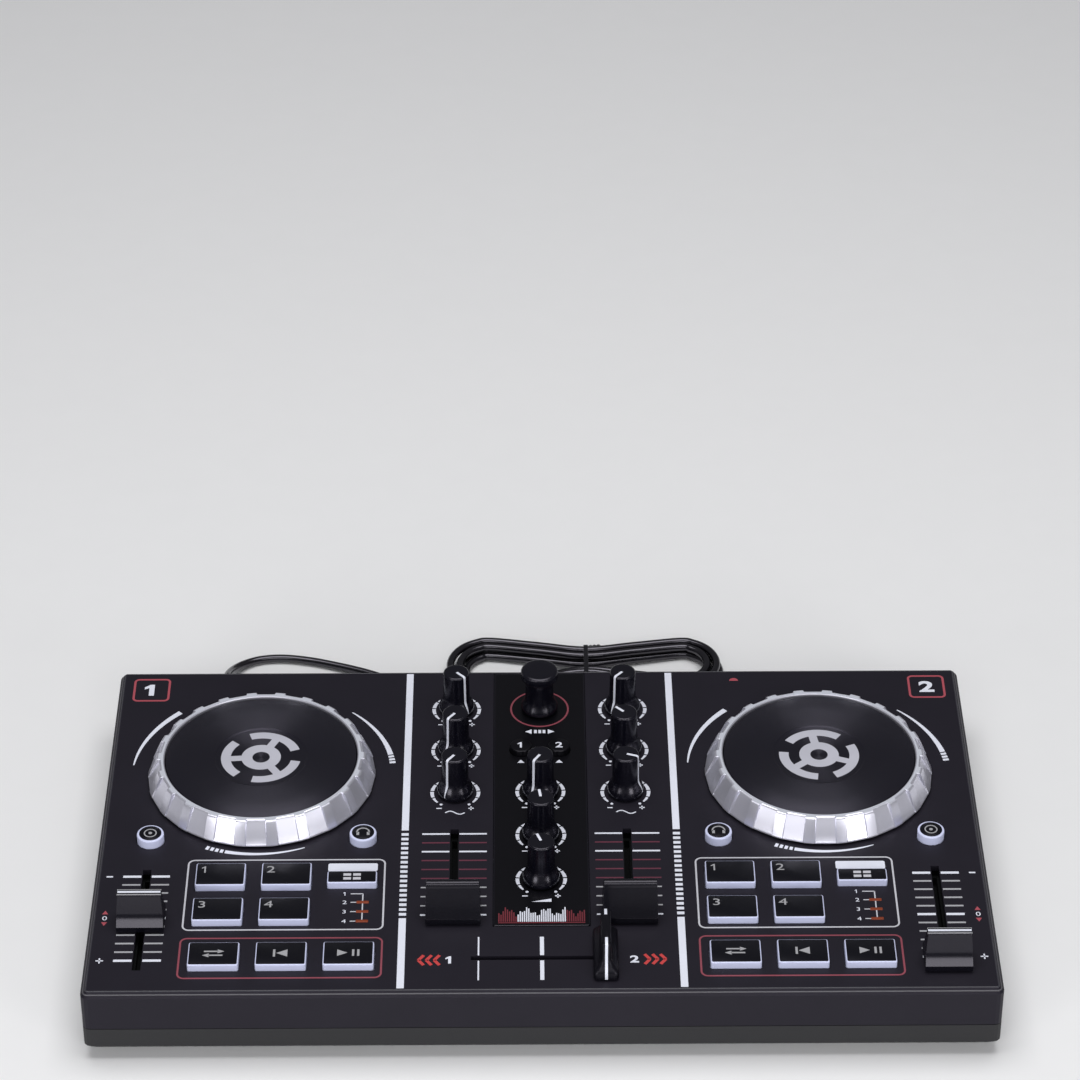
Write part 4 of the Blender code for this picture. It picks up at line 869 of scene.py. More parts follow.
def grooved(name, centre):
    """The satin black of one wheel: its bump is a wave that depends only on the distance from the centre."""
    material = finish(name, (0.0050, 0.0046, 0.0084), 0.30, 0.4 * MM, 0.003 * MM, sockets=RECORD)
    tree = material.node_tree
    where = tree.nodes.new("ShaderNodeTexCoord").outputs["Object"]
    centred = tree.nodes.new("ShaderNodeMapping")
    centred.inputs["Location"].default_value = (-centre[0], -centre[1], 0.0)
    tree.links.new(where, centred.inputs["Vector"])
    wave = tree.nodes.new("ShaderNodeTexWave")
    wave.wave_type = "RINGS"
    wave.rings_direction = "Z"
    wave.inputs["Scale"].default_value = math.pi / (10 * GROOVE)
    tree.links.new(centred.outputs["Vector"], wave.inputs["Vector"])
    lines = tree.nodes.new("ShaderNodeBump")
    lines.inputs["Strength"].default_value = 1.0
    lines.inputs["Distance"].default_value = GROOVE_DEPTH
    tree.links.new(wave.outputs["Fac"], lines.inputs["Height"])
    tree.links.new(tree.nodes["bump"].outputs["Normal"], lines.inputs["Normal"])
    tree.links.new(lines.outputs["Normal"], tree.nodes["Principled BSDF"].inputs["Normal"])
    return material


plate_profile = [
    (0.0, PLATE_TOP - RECESS_DEPTH),
    (RECESS_RADIUS - 0.8 * MM, PLATE_TOP - RECESS_DEPTH),
    (RECESS_RADIUS - 0.3 * MM, PLATE_TOP - 0.22 * MM),
    (RECESS_RADIUS, PLATE_TOP - 0.02 * MM),
    (RECESS_RADIUS + 0.3 * MM, PLATE_TOP),
    (30 * MM, PLATE_TOP),
    (PLATE_RADIUS - 0.7 * MM, PLATE_TOP),
    (PLATE_RADIUS - 0.2 * MM, PLATE_TOP - 0.2 * MM),
    (PLATE_RADIUS, PLATE_TOP - 0.7 * MM),
    (PLATE_RADIUS, PLATE_TOP - 2.3 * MM),
    (LEDGE_RADIUS, PLATE_TOP - 2.4 * MM),
    (LEDGE_RADIUS, PLATE_TOP - 3.5 * MM),
    (HUB_RADIUS, PLATE_TOP - 3.6 * MM),
    (HUB_RADIUS, PLATE_FOOT),
    (HUB_BORE, PLATE_FOOT),
    (HUB_BORE, PLATE_TOP - 3.0 * MM),
    (0.0, PLATE_TOP - 3.0 * MM),
]
for (side, _), heading in zip(SIDES, MARK_HEADINGS):
    wheel = middle_of(f"jog_plate_{side}")
    low, high = inked(PLATE_TOP - RECESS_DEPTH)
    patches = [(turned(plate_profile, wheel, 128), grooved(f"jog_black_{side}", wheel))]
    for third in range(3):
        start = heading + 120 * third
        arc = compass(wheel, MARK_RADIUS, start, start + MARK_SWEEP, 40)
        patches.append((band(arc, 4.0 * MM, low, high), emblem))
        spoke = compass(wheel, 1.0, start + MARK_SWEEP / 2, start + MARK_SWEEP / 2, 1)[0] - wheel
        arm = [wheel + reach * spoke for reach in ARM_REACH]
        patches.append((band(arm, 3.4 * MM, low, high - 0.02 * MM), emblem))
    patches.append((ring(wheel, 5.9 * MM, 4.6 * MM, low, high), emblem))
    piece(
        f"jog_plate_{side}_turned",
        patches,
        body=f"jog_{side}",
        instead_of=[f"jog_plate_{side}"],
        edge=40.0,
    )
print(f"jog plates: {2 * PLATE_RADIUS / MM:.1f} mm across, grooves {GROOVE / MM:.2f} mm apart")

# %% [markdown]
# ## Keys
# Each key is a milky moulding with a black printed top, so that a white line stays all round it and the front
# wall shows white. It is rounded rectangles stacked upwards: stem, flange under the panel, straight walls and
# a soft top edge. The black top is a second, smaller stack, and the marks are ink on it, grey or pale.

# %% Key shapes and marks
KEY_FLANGE = 1.0 * MM
FLANGE_TOP = PANEL - 2.8 * MM
FLANGE_FOOT = FLANGE_TOP - KEY_FLANGE
STEM_HALF = 1.5 * MM
STEM_CORNER = 0.5 * MM
KEY_RIM = 0.46 * MM
KEY_CORNER = 0.8 * MM
TOP_RISE = 0.10 * MM


def key_stack(half, low, top):
    """Rows of one key from the stem's foot to the rounded top edge."""
    rows = [(STEM_HALF, STEM_HALF, STEM_CORNER, level) for level in (low, FLANGE_FOOT)]
    levels = [
        (KEY_FLANGE, FLANGE_FOOT),
        (KEY_FLANGE, FLANGE_TOP),
        (0.0, FLANGE_TOP),
        (0.0, top - 0.5 * MM),
        (-0.06 * MM, top - 0.25 * MM),
        (-0.22 * MM, top - 0.07 * MM),
        (-0.45 * MM, top),
    ]
    return rows + [(half[0] + grow, half[1] + grow, KEY_CORNER + min(grow, 0.0), z) for grow, z in levels]


def key_top(half, top):
    """Rows of the black top, with its own small edge."""
    inner = (half[0] - KEY_RIM, half[1] - KEY_RIM)
    levels = [(0.0, top - 0.05 * MM), (0.0, top + 0.6 * TOP_RISE), (-0.06 * MM, top + TOP_RISE)]
    return [(inner[0] + grow, inner[1] + grow, 0.6 * MM, z) for grow, z in levels]


def mark_numeral(text):
    """A numeral in the back left corner of a pad."""
    return lambda at, low, high: [figures(text, 3.9 * MM, at + (-6.3 * MM, 2.6 * MM), low, high, 1.35)]


def mark_play(at, low, high):
    """A triangle and two upright bars."""
    shapes = [pointer_head(at + (-0.4 * MM, 0), 4.0 * MM, 1.9 * MM, (1, 0), low, high)]
    return shapes + [bar(at + (x * MM, 0), (0.9 * MM, 3.8 * MM), low, high) for x in (1.9, 3.9)]


def mark_cue(at, low, high):
    """Back to the mark: an upright bar and a triangle that points at it."""
    shapes = [pointer_head(at + (-1.8 * MM, 0), 4.4 * MM, 2.1 * MM, (-1, 0), low, high)]
    return shapes + [bar(at + (-2.6 * MM, 0), (0.9 * MM, 4.2 * MM), low, high)]


def mark_sync(at, low, high):
    """Two arrows that pass each other."""
    shapes = []
    for way in (1, -1):
        y = at[1] + way * 1.15 * MM
        shapes.append(bar((at[0] - way * 0.9 * MM, y), (5.6 * MM, 0.75 * MM), low, high))
        shapes.append(pointer_head((at[0] + way * 4.3 * MM, y), 2.6 * MM, 1.15 * MM, (way, 0), low, high))
    return shapes


def mark_grid(at, low, high):
    """Four little squares, two by two."""
    places = [(x, y) for x in (-1.95, 1.95) for y in (-1.2, 1.2)]
    return [bar(at + np.array(place) * MM, (3.1 * MM, 1.45 * MM), low, high) for place in places]


def make_key(node, marks, ink):
    """One rectangular key at its node: milky body, black top and inked marks."""
    low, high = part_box(node)
    half = ((high.x - low.x) / 2 - KEY_FLANGE, (high.y - low.y) / 2 - KEY_FLANGE)
    at = middle_of(node)
    levels = inked(high.z + TOP_RISE)
    dressed = [(stacked(key_stack(half, low.z, high.z), at), key_white)]
    dressed.append((stacked(key_top(half, high.z), at), key_black))
    dressed += [(shape, ink) for shape in marks(at, *levels)]
    stand_in(node, "moulded", dressed)


for side, _ in SIDES:
    for number in "1234":
        make_key(f"pad_{side}_{number}", mark_numeral(number), grey_ink_and_painted_glint)
    make_key(f"sync_key_{side}", mark_sync, grey_ink_and_painted_glint)
    make_key(f"cue_key_{side}", mark_cue, grey_ink_and_painted_glint)
    make_key(f"play_key_{side}", mark_play, grey_ink_and_painted_glint)
    make_key(f"pad_mode_key_{side}", mark_grid, ink_pale)
print("keys: 8 pads, 6 transport keys, 2 mode keys")

# %% [markdown]
# The round keys are the same idea turned about an axis. The inner pair carries a headphone sign, a band over
# two ear pads, and the outer pair a small record. The load keys are plain black with a numeral.

# %% Round keys
ROUND_RADIUS = 5.5 * MM
LOAD_RADIUS = 4.5 * MM
# inset and drop of the rounded top edge, in millimetres
ROUND_EDGE = ((0.0, 0.6), (0.08, 0.28), (0.28, 0.08), (0.6, 0.0))


def round_profile(radius, low, top):
    """Profile of a round key from the stem's foot, over the flange and the wall, to the middle of its top."""
    outer = radius + KEY_FLANGE
    foot = [(0.0, low), (STEM_HALF, low), (STEM_HALF, FLANGE_FOOT), (outer, FLANGE_FOOT)]
    wall = [(outer, FLANGE_TOP), (radius, FLANGE_TOP)]
    edge = [(radius - inset * MM, top - drop * MM) for inset, drop in ROUND_EDGE]
    return foot + wall + edge + [(0.0, top)]


def mark_headphones(at, low, high):
    """A band over the head and an ear pad at each end of it."""
    shapes = [band(compass(at, 2.5 * MM, -100, 100), 0.6 * MM, low, high)]
    return shapes + [bar(at + (x * MM, -0.9 * MM), (1.1 * MM, 1.9 * MM), low, high) for x in (-2.1, 2.1)]


def mark_record(at, low, high):
    """A record: its rim and its hole."""
    return [ring(at, 2.4 * MM, 0.5 * MM, low, high, 40), disc(at, 0.75 * MM, low, high, 20)]


def make_round_key(node, marks):
    """One milky round key with a black top and a grey sign."""
    low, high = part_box(node)
    at = middle_of(node)
    inner = ROUND_RADIUS - 0.95 * MM
    cap = [(0.0, high.z - 0.05 * MM), (inner, high.z - 0.05 * MM), (inner, high.z + 0.06 * MM)]
    cap += [(inner - 0.06 * MM, high.z + TOP_RISE), (0.0, high.z + TOP_RISE)]
    body = turned(round_profile(ROUND_RADIUS, low.z, high.z), at)
    dressed = [(body, key_white), (turned(cap, at), key_black)]
    dressed += [(shape, grey_ink_and_painted_glint) for shape in marks(at, *inked(high.z + TOP_RISE))]
    stand_in(node, "moulded", dressed)


for side, _ in SIDES:
    make_round_key(f"headphone_key_{side}", mark_headphones)
    make_round_key(f"scratch_key_{side}", mark_record)
for number in "12":
    node = f"load_key_{number}"
    low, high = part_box(node)
    at = middle_of(node)
    numeral = figures(number, 3.6 * MM, at, *inked(high.z), 1.3, 0.02)
    dressed = [(turned(round_profile(LOAD_RADIUS, low.z, high.z), at), face_black), (numeral, ink_white)]
    stand_in(node, "moulded", dressed)
print("round keys: 4 milky, 2 black")

# %% [markdown]
# ## Knobs
# A knob is a slim column on a flared foot, with a white pointer that runs from the middle of the top over the
# edge and down one side, and narrows where the foot flares out. The column is a turned profile with a smooth
# step for the flare. The pointer follows that same profile a few hundredths of a millimetre further out: at
# each place it lies on the circle of the knob, so across the strip the radius is root(r^2 - t^2).

# %% Knob profile
KNOB_LIFT = 0.8 * MM
KNOB_TOP = 20.4 * MM
KNOB_ROUND = 0.9 * MM
KNOB_STEPS = 56
KNOB_COLUMN = 5.75 * MM
KNOB_NARROWS = 0.35 * MM
KNOB_FLARE = 1.75 * MM
FLARE_LEVELS = (2.6 * MM, 7.8 * MM)


def knob_radius(height):
    """A column that narrows a little upwards, plus a flare that a smooth step takes away above the foot."""
    column = KNOB_COLUMN - KNOB_NARROWS * height / KNOB_TOP
    return column + KNOB_FLARE * (1 - eased(*FLARE_LEVELS, height))


knob_side = np.linspace(1.3 * MM, KNOB_TOP - KNOB_ROUND, 26)
knob_edge_turn = np.linspace(0, TURN / 4, 7)[1:]
knob_shoulder = knob_radius(KNOB_TOP - KNOB_ROUND) - KNOB_ROUND
knob_edge_radius = knob_shoulder + KNOB_ROUND * np.cos(knob_edge_turn)
knob_edge_level = KNOB_TOP - KNOB_ROUND + KNOB_ROUND * np.sin(knob_edge_turn)
knob_outline = np.vstack(
    [
        np.column_stack([knob_radius(knob_side), knob_side]),
        np.column_stack([knob_edge_radius, knob_edge_level]),
        [(0.75 * knob_shoulder, KNOB_TOP - 0.06 * MM), (0.15 * knob_shoulder, KNOB_TOP - 0.14 * MM)],
    ]
)


def knob_body(at, foot):
    """The whole knob: shaft, underside, foot edge, column and slightly dished top."""
    shaft = [(0.0, foot - PANEL), (3.0 * MM, foot - PANEL), (3.0 * MM, KNOB_LIFT), (7.0 * MM, KNOB_LIFT)]
    foot_edge = [(7.35 * MM, KNOB_LIFT + 0.2 * MM)]
    profile = np.vstack([shaft, foot_edge, knob_outline, [(0.0, KNOB_TOP - 0.15 * MM)]])
    return turned(profile, (*at, PANEL), KNOB_STEPS)


def pointer(at, heading, outline, full, taper_from):
    """A strip that follows an outline from the top's middle down one side, at a heading on the compass."""
    path = outline[::-1]
    path = path[path[:, 1] > taper_from[0]]
    out = outward(path)
    half = full / 2 * np.clip((path[:, 1] - taper_from[0]) / (taper_from[1] - taper_from[0]), 0.4, 1)
    turn = math.radians(heading)
    radial, across = np.array([math.sin(turn), math.cos(turn)]), np.array([math.cos(turn), -math.sin(turn)])
    rings = []
    for way, lift in ((-1, -0.06), (1, -0.06), (1, 0.05), (-1, 0.05)):
        place = path + out * lift * MM
        reach = np.sqrt(np.maximum(place[:, 0] ** 2 - half**2, 0.0))
        flat = np.asarray(at) + reach[:, None] * radial + (way * half)[:, None] * across
        rings.append(np.column_stack([flat, place[:, 1] + PANEL]))
    return skin(np.stack(rings, axis=1), wrap_v=True, caps=True)


POINTER_WIDTH = 1.05 * MM
POINTER_TAPER = (2.0 * MM, 6.5 * MM)
# degrees on the compass, clockwise from the back
POINTERS = {
    "treble_knob_left": 138,
    "mid_knob_left": -144,
    "bass_knob_left": -145,
    "treble_knob_right": -140,
    "mid_knob_right": -46,
    "bass_knob_right": 111,
    "master_gain_knob": -149,
    "cue_mix_knob": -8,
    "cue_gain_knob": -21,
}
for node, heading in POINTERS.items():
    at = middle_of(node)
    strip = pointer(at, heading, knob_outline, POINTER_WIDTH, POINTER_TAPER)
    dressed = [(knob_body(at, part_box(node)[0].z), knob_black), (strip, ink_white)]
    stand_in(node, "moulded", dressed, 50.0)
print(f"knobs: {len(POINTERS)} with pointers, {KNOB_TOP / MM:.1f} mm tall")

# %% [markdown]
# The browse knob is a mushroom that turns without end, so it has no pointer. Its cap has a knurled edge:
# round the turn the radius swings by a little over a tenth of a millimetre, on the rows of the cap's wall.

# %% Browse knob
KNURLS = 40
KNURL_DEPTH = 0.14 * MM
# radius and height above the panel in mm, and 1 on the rows that are knurled
browse_rows = np.array(
    [
        (0.0, 16.9, 0),
        (3.3, 16.9, 0),
        (3.3, 1.3, 0),
        (7.5, 1.3, 0),
        (7.8, 1.6, 0),
        (7.75, 2.6, 0),
        (7.5, 3.4, 0),
        (7.0, 4.4, 0),
        (6.4, 5.6, 0),
        (6.05, 7.2, 0),
        (5.92, 10.5, 0),
        (5.9, 13.5, 0),
        (5.95, 15.8, 0),
        (6.3, 16.7, 0),
        (7.2, 17.1, 0),
        (7.75, 17.4, 1),
        (7.9, 17.8, 1),
        (7.9, 20.2, 1),
        (7.75, 20.75, 1),
        (7.3, 21.15, 0),
        (6.4, 21.35, 0),
        (4.0, 21.4, 0),
        (0.0, 21.4, 0),
    ]
)
browse_at = middle_of("browse_knob")
browse_angle = np.arange(4 * KNURLS) * TURN / (4 * KNURLS)
knurl_wave = 0.5 - 0.5 * np.cos(KNURLS * browse_angle)
browse_radius = browse_rows[:, :1] * MM - KNURL_DEPTH * browse_rows[:, 2:] * knurl_wave
browse_skin = spun(browse_at, browse_radius, browse_angle, PANEL + browse_rows[:, 1:2] * MM)
stand_in("browse_knob", "moulded", [(browse_skin, knob_black)], 40.0)
print(f"browse knob: {KNURLS} knurls round a {2 * browse_rows[:, 0].max():.1f} mm cap")

# %% [markdown]
# ## Faders
# The line and pitch caps are one profile carried across: an upright lip, a flared slope for the fingertip, a
# crest and the same again behind. The slope is a flare and a steeper line that meet in a round, and the
# crest's edges are quarter circles. The ends lean in towards the crest, and a live Bevel softens them. The
# pitch caps carry a white index line on the crest, between two fine ribs whose grey is a painted highlight
# on the crest's front and back edges.

# %% Crested fader caps
FADER_LIFT = 1.0 * MM
CAP_CREST = 4.0 * MM
CAP_LIP = 2.4 * MM
GLINT_RIB_AT = 1.42 * MM
LEVER_THIN = 0.8 * MM
LEVER_WIDE = 1.5 * MM
PITCH_INDEX = (17.0 * MM, 1.15 * MM)
PITCH_GLINT_RIB = (17.4 * MM, 0.42 * MM)
# run, rise and blend of the flare, radius of the crest's edges and lean of the ends
LINE_SHAPE = ((1.4 * MM, 2.7 * MM, 0.25 * MM), 1.9 * MM, 0.5 * MM)
PITCH_SHAPE = ((2.9 * MM, 3.5 * MM, 0.3 * MM), 1.0 * MM, 0.9 * MM)


def crested_outline(length, height, flare, curve):
    """Lip, slope = mean + root(half difference^2 + blend^2) of two lines, quarter circle, then mirrored."""
    run, rise, blend = flare
    foot, crest, shoulder = length / 2, CAP_CREST / 2, height - curve
    level = np.linspace(CAP_LIP, shoulder, 25)
    low_line = foot - (level - CAP_LIP) * run / rise
    high_line = crest + (shoulder - level) * (foot - run - crest) / (shoulder - CAP_LIP - rise)
    deep = (low_line + high_line) / 2 + np.hypot((low_line - high_line) / 2, blend)
    turn = np.linspace(0, TURN / 4, 6)[1:]
    edge = np.array([crest - curve, shoulder]) + curve * np.column_stack([np.cos(turn), np.sin(turn)])
    front = np.vstack([[(foot, 0.0)], np.column_stack([deep, level]), edge])
    return np.vstack([front, front[::-1] * (-1, 1)])


def crested_cap(at, size, flare, curve, taper):
    """The outline at both ends of the cap; the half width shrinks with the square of the height."""
    width, length, height = size
    outline = crested_outline(length, height, flare, curve)
    half = width / 2 - taper * (outline[:, 1] / height) ** 2
    level = PANEL + FADER_LIFT + outline[:, 1]
    ends = [np.column_stack([at[0] + way * half, at[1] + outline[:, 0], level]) for way in (-1, 1)]
    return skin(np.stack(ends), wrap_v=True, caps=True)


def lever(node, half_x, half_y):
    """The blade below a cap that reaches through the slot."""
    at = middle_of(node)
    return stacked([(half_x, half_y, 0.2 * MM, z) for z in (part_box(node)[0].z, PANEL + 2.0 * MM)], at, 2)


for side, _ in SIDES:
    for kind, black, shape in (("line", cap_line, LINE_SHAPE), ("pitch", cap_black, PITCH_SHAPE)):
        node = f"{kind}_fader_{side}"
        at = middle_of(node)
        low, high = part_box(node)
        size = (high.x - low.x, high.y - low.y, high.z - PANEL - FADER_LIFT)
        dressed = [(crested_cap(at, size, *shape), black), (lever(node, LEVER_THIN, LEVER_WIDE), black)]
        if kind == "pitch":
            dressed.append((bar(at, PITCH_INDEX, *inked(high.z)), ink_white))
            # the grey ribs either side of the index are a painted highlight on the crest's edges
            for way in (-1, 1):
                glint_rib = bar(at + (0.0, way * GLINT_RIB_AT), PITCH_GLINT_RIB, high.z - 0.5 * MM, high.z - 0.05 * MM)
                dressed.append((glint_rib, grey_ink_and_painted_glint))
        softened(stand_in(node, "cap", dressed, 30.0), 0.3 * MM)
print("faders: 2 line caps, 2 pitch caps")

# %% [markdown]
# The crossfader's cap is an upright blade on a flared foot, so that it can be flicked with a fingertip. It is
# a stack of rounded rectangles whose half sizes ease from the foot to the blade. A white line runs down its
# front and its back, over the edge of the top.

# %% Crossfader cap
CROSS_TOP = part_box("crossfader")[1].z - PANEL
CROSS_NOSE = 0.8 * MM
CROSS_LINE = 1.1 * MM
CROSS_LINE_START = 3.2 * MM
cross_at = middle_of("crossfader")
cross_flank = np.concatenate([[1.0, 2.8], np.linspace(3.2, 9.2, 9), [10.5, 12.0, 13.5]]) * MM
cross_height = np.concatenate([cross_flank, CROSS_TOP - CROSS_NOSE * np.array([1.0, 0.45, 0.1, 0.0])])
cross_flare = (1 - eased(2.8 * MM, 9.2 * MM, cross_height)) ** 1.5
cross_nose = np.clip((cross_height - CROSS_TOP) / CROSS_NOSE + 1, 0, 1) ** 2 * 0.7 * MM
cross_half_x = 2.1 * MM + 2.85 * MM * cross_flare - 0.12 * MM * cross_height / CROSS_TOP - cross_nose
cross_half_y = 10.7 * MM + 1.4 * MM * (1 - cross_height / CROSS_TOP) + 2.15 * MM * cross_flare - cross_nose
cross_corner = np.minimum(1.6 * MM, 0.85 * cross_half_x)
cross_body = stacked(list(zip(cross_half_x, cross_half_y, cross_corner, PANEL + cross_height)), cross_at, 6)


def cross_line(way):
    """A strip from the top over its edge and down the front or back, laid on along the outline's normal."""
    path = np.column_stack([cross_half_y, cross_height])[::-1]
    path = np.vstack([[(path[0, 0] - CROSS_LINE_START, CROSS_TOP)], path])
    out = outward(path)
    rings = []
    for side, lift in ((-1, -0.08), (1, -0.08), (1, 0.05), (-1, 0.05)):
        place = path + out * lift * MM
        across = np.full(len(path), cross_at[0] + side * CROSS_LINE / 2)
        rings.append(np.column_stack([across, cross_at[1] + way * place[:, 0], PANEL + place[:, 1]]))
    return skin(np.stack(rings, axis=1), wrap_v=True, caps=True)


dressed = [(cross_body, cap_dull), (lever("crossfader", LEVER_WIDE, LEVER_THIN), cap_dull)]
dressed += [(cross_line(way), ink_white) for way in (1, -1)]
stand_in("crossfader", "cap", dressed, 50.0)
print(f"crossfader: blade to {CROSS_TOP / MM:.0f} mm above the panel")

# %% [markdown]
# ## Printed panel
# Everything printed is ink on the panel: frames round the key groups, scales beside the faders, broken arcs
# round the knobs and swept arcs round the jog wheels. All white ink is one object, as one screen prints it,
# and so are the greys and the reds. Signs and numerals are plain ones.

# %% Ink on the decks
white, pale, dim = [], [], []
red, bright_red, dark_red, wine = [], [], [], []
panel_ink = inked(PANEL)
DECK_NUMERAL = {"left": "1", "right": "2"}
BADGE_AT = (165.9 * MM, 90.5 * MM)
BADGE_HALF = (7.4 * MM, 7.4 * MM)
# radii and compass angles of both ends, widths of the thin and the thick end, and dashes
DECK_ARCS = (
    ((54.6, 57.2), (-81.5, -40), (0.5, 2.4), 0),
    ((56.4, 54.8), (40, 81), (0.5, 2.5), 3),
    ((50.2, 50.2), (157, 204), (0.4, 2.2), 4),
)
DASH_SHARE = 0.05
DASH_GAP = 0.35


def swept_arc(centre, radii, angles, widths, dashes):
    """An arc that swells from a thin to a thick end, where the last stretch is cut into dashes."""
    shapes = []
    start, end = angles
    inner, outer, thin, thick = (length * MM for length in radii + widths)
    body_end = 1 - dashes * DASH_SHARE
    cuts = [(0.0, body_end)]
    cuts += [(body_end + (k + DASH_GAP) * DASH_SHARE, body_end + (k + 1) * DASH_SHARE) for k in range(dashes)]
    for first, last in cuts:
        share = np.linspace(first, last, 40 if first == 0.0 else 4)
        reach = inner + (outer - inner) * share
        line = compass(centre, reach, start + (end - start) * first, start + (end - start) * last, len(share))
        shapes.append(band(line, thin + (thick - thin) * share**0.8, *panel_ink))
    return shapes


def frame_line(centre, half, corner, width):
    """A rounded rectangle drawn as a closed line."""
    return band(rounded_loop(*half, corner, 8) + np.asarray(centre), width, *panel_ink, closed=True)


for side, sign in SIDES:
    wheel = middle_of(f"jog_plate_{side}")
    deck = middle_of(f"pad_{side}_2")[0]
    for arc in DECK_ARCS:
        white += swept_arc(wheel, *arc)
    pale.append(frame_line((deck - 0.3 * MM, -44.5 * MM), (39.7 * MM, 21.5 * MM), 2.6 * MM, 0.7 * MM))
    wine.append(frame_line((deck - 0.4 * MM, -82.8 * MM), (39.8 * MM, 11.8 * MM), 2.6 * MM, 0.75 * MM))
    badge = (sign * BADGE_AT[0], BADGE_AT[1])
    red.append(frame_line(badge, BADGE_HALF, 1.8 * MM, 0.95 * MM))
    white.append(figures(DECK_NUMERAL[side], 7.6 * MM, badge, *panel_ink, 1.3, 0.035))
    mode = middle_of(f"pad_mode_key_{side}")
    tag = rounded_loop(10.0 * MM, 2.4 * MM, 0.8 * MM) + (mode[0], -27.8 * MM)
    white.append(plate(tag, *panel_ink))
print(f"deck ink: {len(white)} white, {len(pale)} pale and {len(red)} red shapes so far")

# %% [markdown]
# Below the mode key a thin tree of lines links four numbered modes, three of them with lamps. The pitch
# scale has eleven lines, with heavier ones at its ends and middle, a minus, a nought between two red
# arrowheads and a plus.

# %% Mode lines and pitch scales
LAMP_ROWS = np.array([-49.5, -55.2, -61.0]) * MM
LAMP_SHIFT = 4.5 * MM
FIRST_MODE = -44.3 * MM
BRANCH_WIDTH = 0.5 * MM
PITCH_LINES = np.linspace(-33.0, -84.0, 11) * MM
PITCH_SLOT_X = 159 * MM
PITCH_SIGN_X = 173.8 * MM


def lamp_column(side):
    """Where the lamps of one deck stand across: a little right of its mode key's middle."""
    return middle_of(f"pad_mode_key_{side}")[0] + LAMP_SHIFT


def crossed(centre, half, width):
    """A plus sign."""
    return [bar(centre, (2 * half, width), *panel_ink), bar(centre, (width, 2 * half), *panel_ink)]


def split_line(x, y, inner, outer, width):
    """Two pieces of a scale line, left and right of a slot."""
    middle, size = (inner + outer) / 2, (outer - inner, width)
    return [bar((x + way * middle, y), size, *panel_ink) for way in (-1, 1)]


for side, sign in SIDES:
    trunk = lamp_column(side)
    rows = np.concatenate([[FIRST_MODE], LAMP_ROWS])
    pale.append(bar((trunk, (rows[0] + rows[-1]) / 2), (BRANCH_WIDTH, rows[0] - rows[-1]), *panel_ink))
    pale.append(bar((trunk - 2.4 * MM, rows[0]), (5.0 * MM, BRANCH_WIDTH), *panel_ink))
    pale += [bar((trunk - 3.6 * MM, y), (2.4 * MM, BRANCH_WIDTH), *panel_ink) for y in LAMP_ROWS]
    white += [figures(str(k + 1), 2.1 * MM, (trunk - 7.2 * MM, y), *panel_ink) for k, y in enumerate(rows)]
    slot_x = sign * PITCH_SLOT_X
    for k, y in enumerate(PITCH_LINES):
        heavy = k % 5 == 0
        lines = split_line(slot_x, y, 2.1 * MM, 9.4 * MM, (1.3 if heavy else 0.9) * MM)
        (white if heavy else dim).extend(lines)
    sign_x = sign * PITCH_SIGN_X
    white.append(bar((sign_x, PITCH_LINES[0]), (2.6 * MM, 0.8 * MM), *panel_ink))
    white.append(figures("0", 2.4 * MM, (sign_x, PITCH_LINES[5]), *panel_ink))
    white += crossed((sign_x, PITCH_LINES[-1]), 1.5 * MM, 0.6 * MM)
    for way in (1, -1):
        tip = (sign_x, PITCH_LINES[5] + way * 4.6 * MM)
        red.append(pointer_head(tip, 2.2 * MM, 1.2 * MM, (0, way), *panel_ink))
print(f"pitch scales: {len(PITCH_LINES)} lines each")

# %% [markdown]
# The mixer is set off by two white bars that break into dashes beside the line faders. The line scales fade
# from white over red to grey. Red arrowheads and a numeral show which way the crossfader leads.

# %% Ink on the mixer
DIVIDER_X = 55.4 * MM
DIVIDER_WIDTH = 2.9 * MM
LINE_SLOT_X = 35.2 * MM
LINE_ROWS = np.linspace(-7.0, -57.5, 10) * MM
DASH_ROWS = np.linspace(-7.2, -57.0, 18) * MM
for side, sign in SIDES:
    for start, end in ((101.0, -4.6), (-59.4, -101.0)):
        size = (DIVIDER_WIDTH, (start - end) * MM)
        white.append(bar((sign * DIVIDER_X, (start + end) / 2 * MM), size, *panel_ink))
    white += [bar((sign * DIVIDER_X, y), (DIVIDER_WIDTH, 1.6 * MM), *panel_ink) for y in DASH_ROWS]
    for k, y in enumerate(LINE_ROWS):
        shade = white if k in (0, 2, 9) else dark_red if k < 6 else dim
        width = (0.9 if shade is white else 0.75) * MM
        shade.extend(split_line(sign * LINE_SLOT_X, y, 2.0 * MM, 13.2 * MM, width))
    numeral_at = (sign * 36.3 * MM, -84.5 * MM)
    white.append(figures(DECK_NUMERAL[side], 4.2 * MM, numeral_at, *panel_ink, 1.3, 0.03))
    for k in range(3):
        tip = np.array([sign * (42.4 + 3.1 * k), -84.6]) * MM
        wings = [tip + (-sign * 2.1 * MM, way * 2.9 * MM) for way in (1, -1)]
        bright_red += [band([wing, (wing + tip) / 2, tip], 1.3 * MM, *panel_ink) for wing in wings]
for x, width in ((-25.0, 0.6), (0.0, 1.6), (25.0, 0.6)):
    for start, end in ((-71.0, -81.9), (-85.1, -96.5)):
        white.append(bar((x * MM, (start + end) / 2 * MM), (width * MM, (start - end) * MM), *panel_ink))
lamp_sign = compass((83.5 * MM, 95.2 * MM), 1.9 * MM, -90, 90, 16)
red.append(plate(lamp_sign, *panel_ink))
print(f"mixer ink: {len(white)} white, {len(red)} red, {len(dim)} grey shapes")

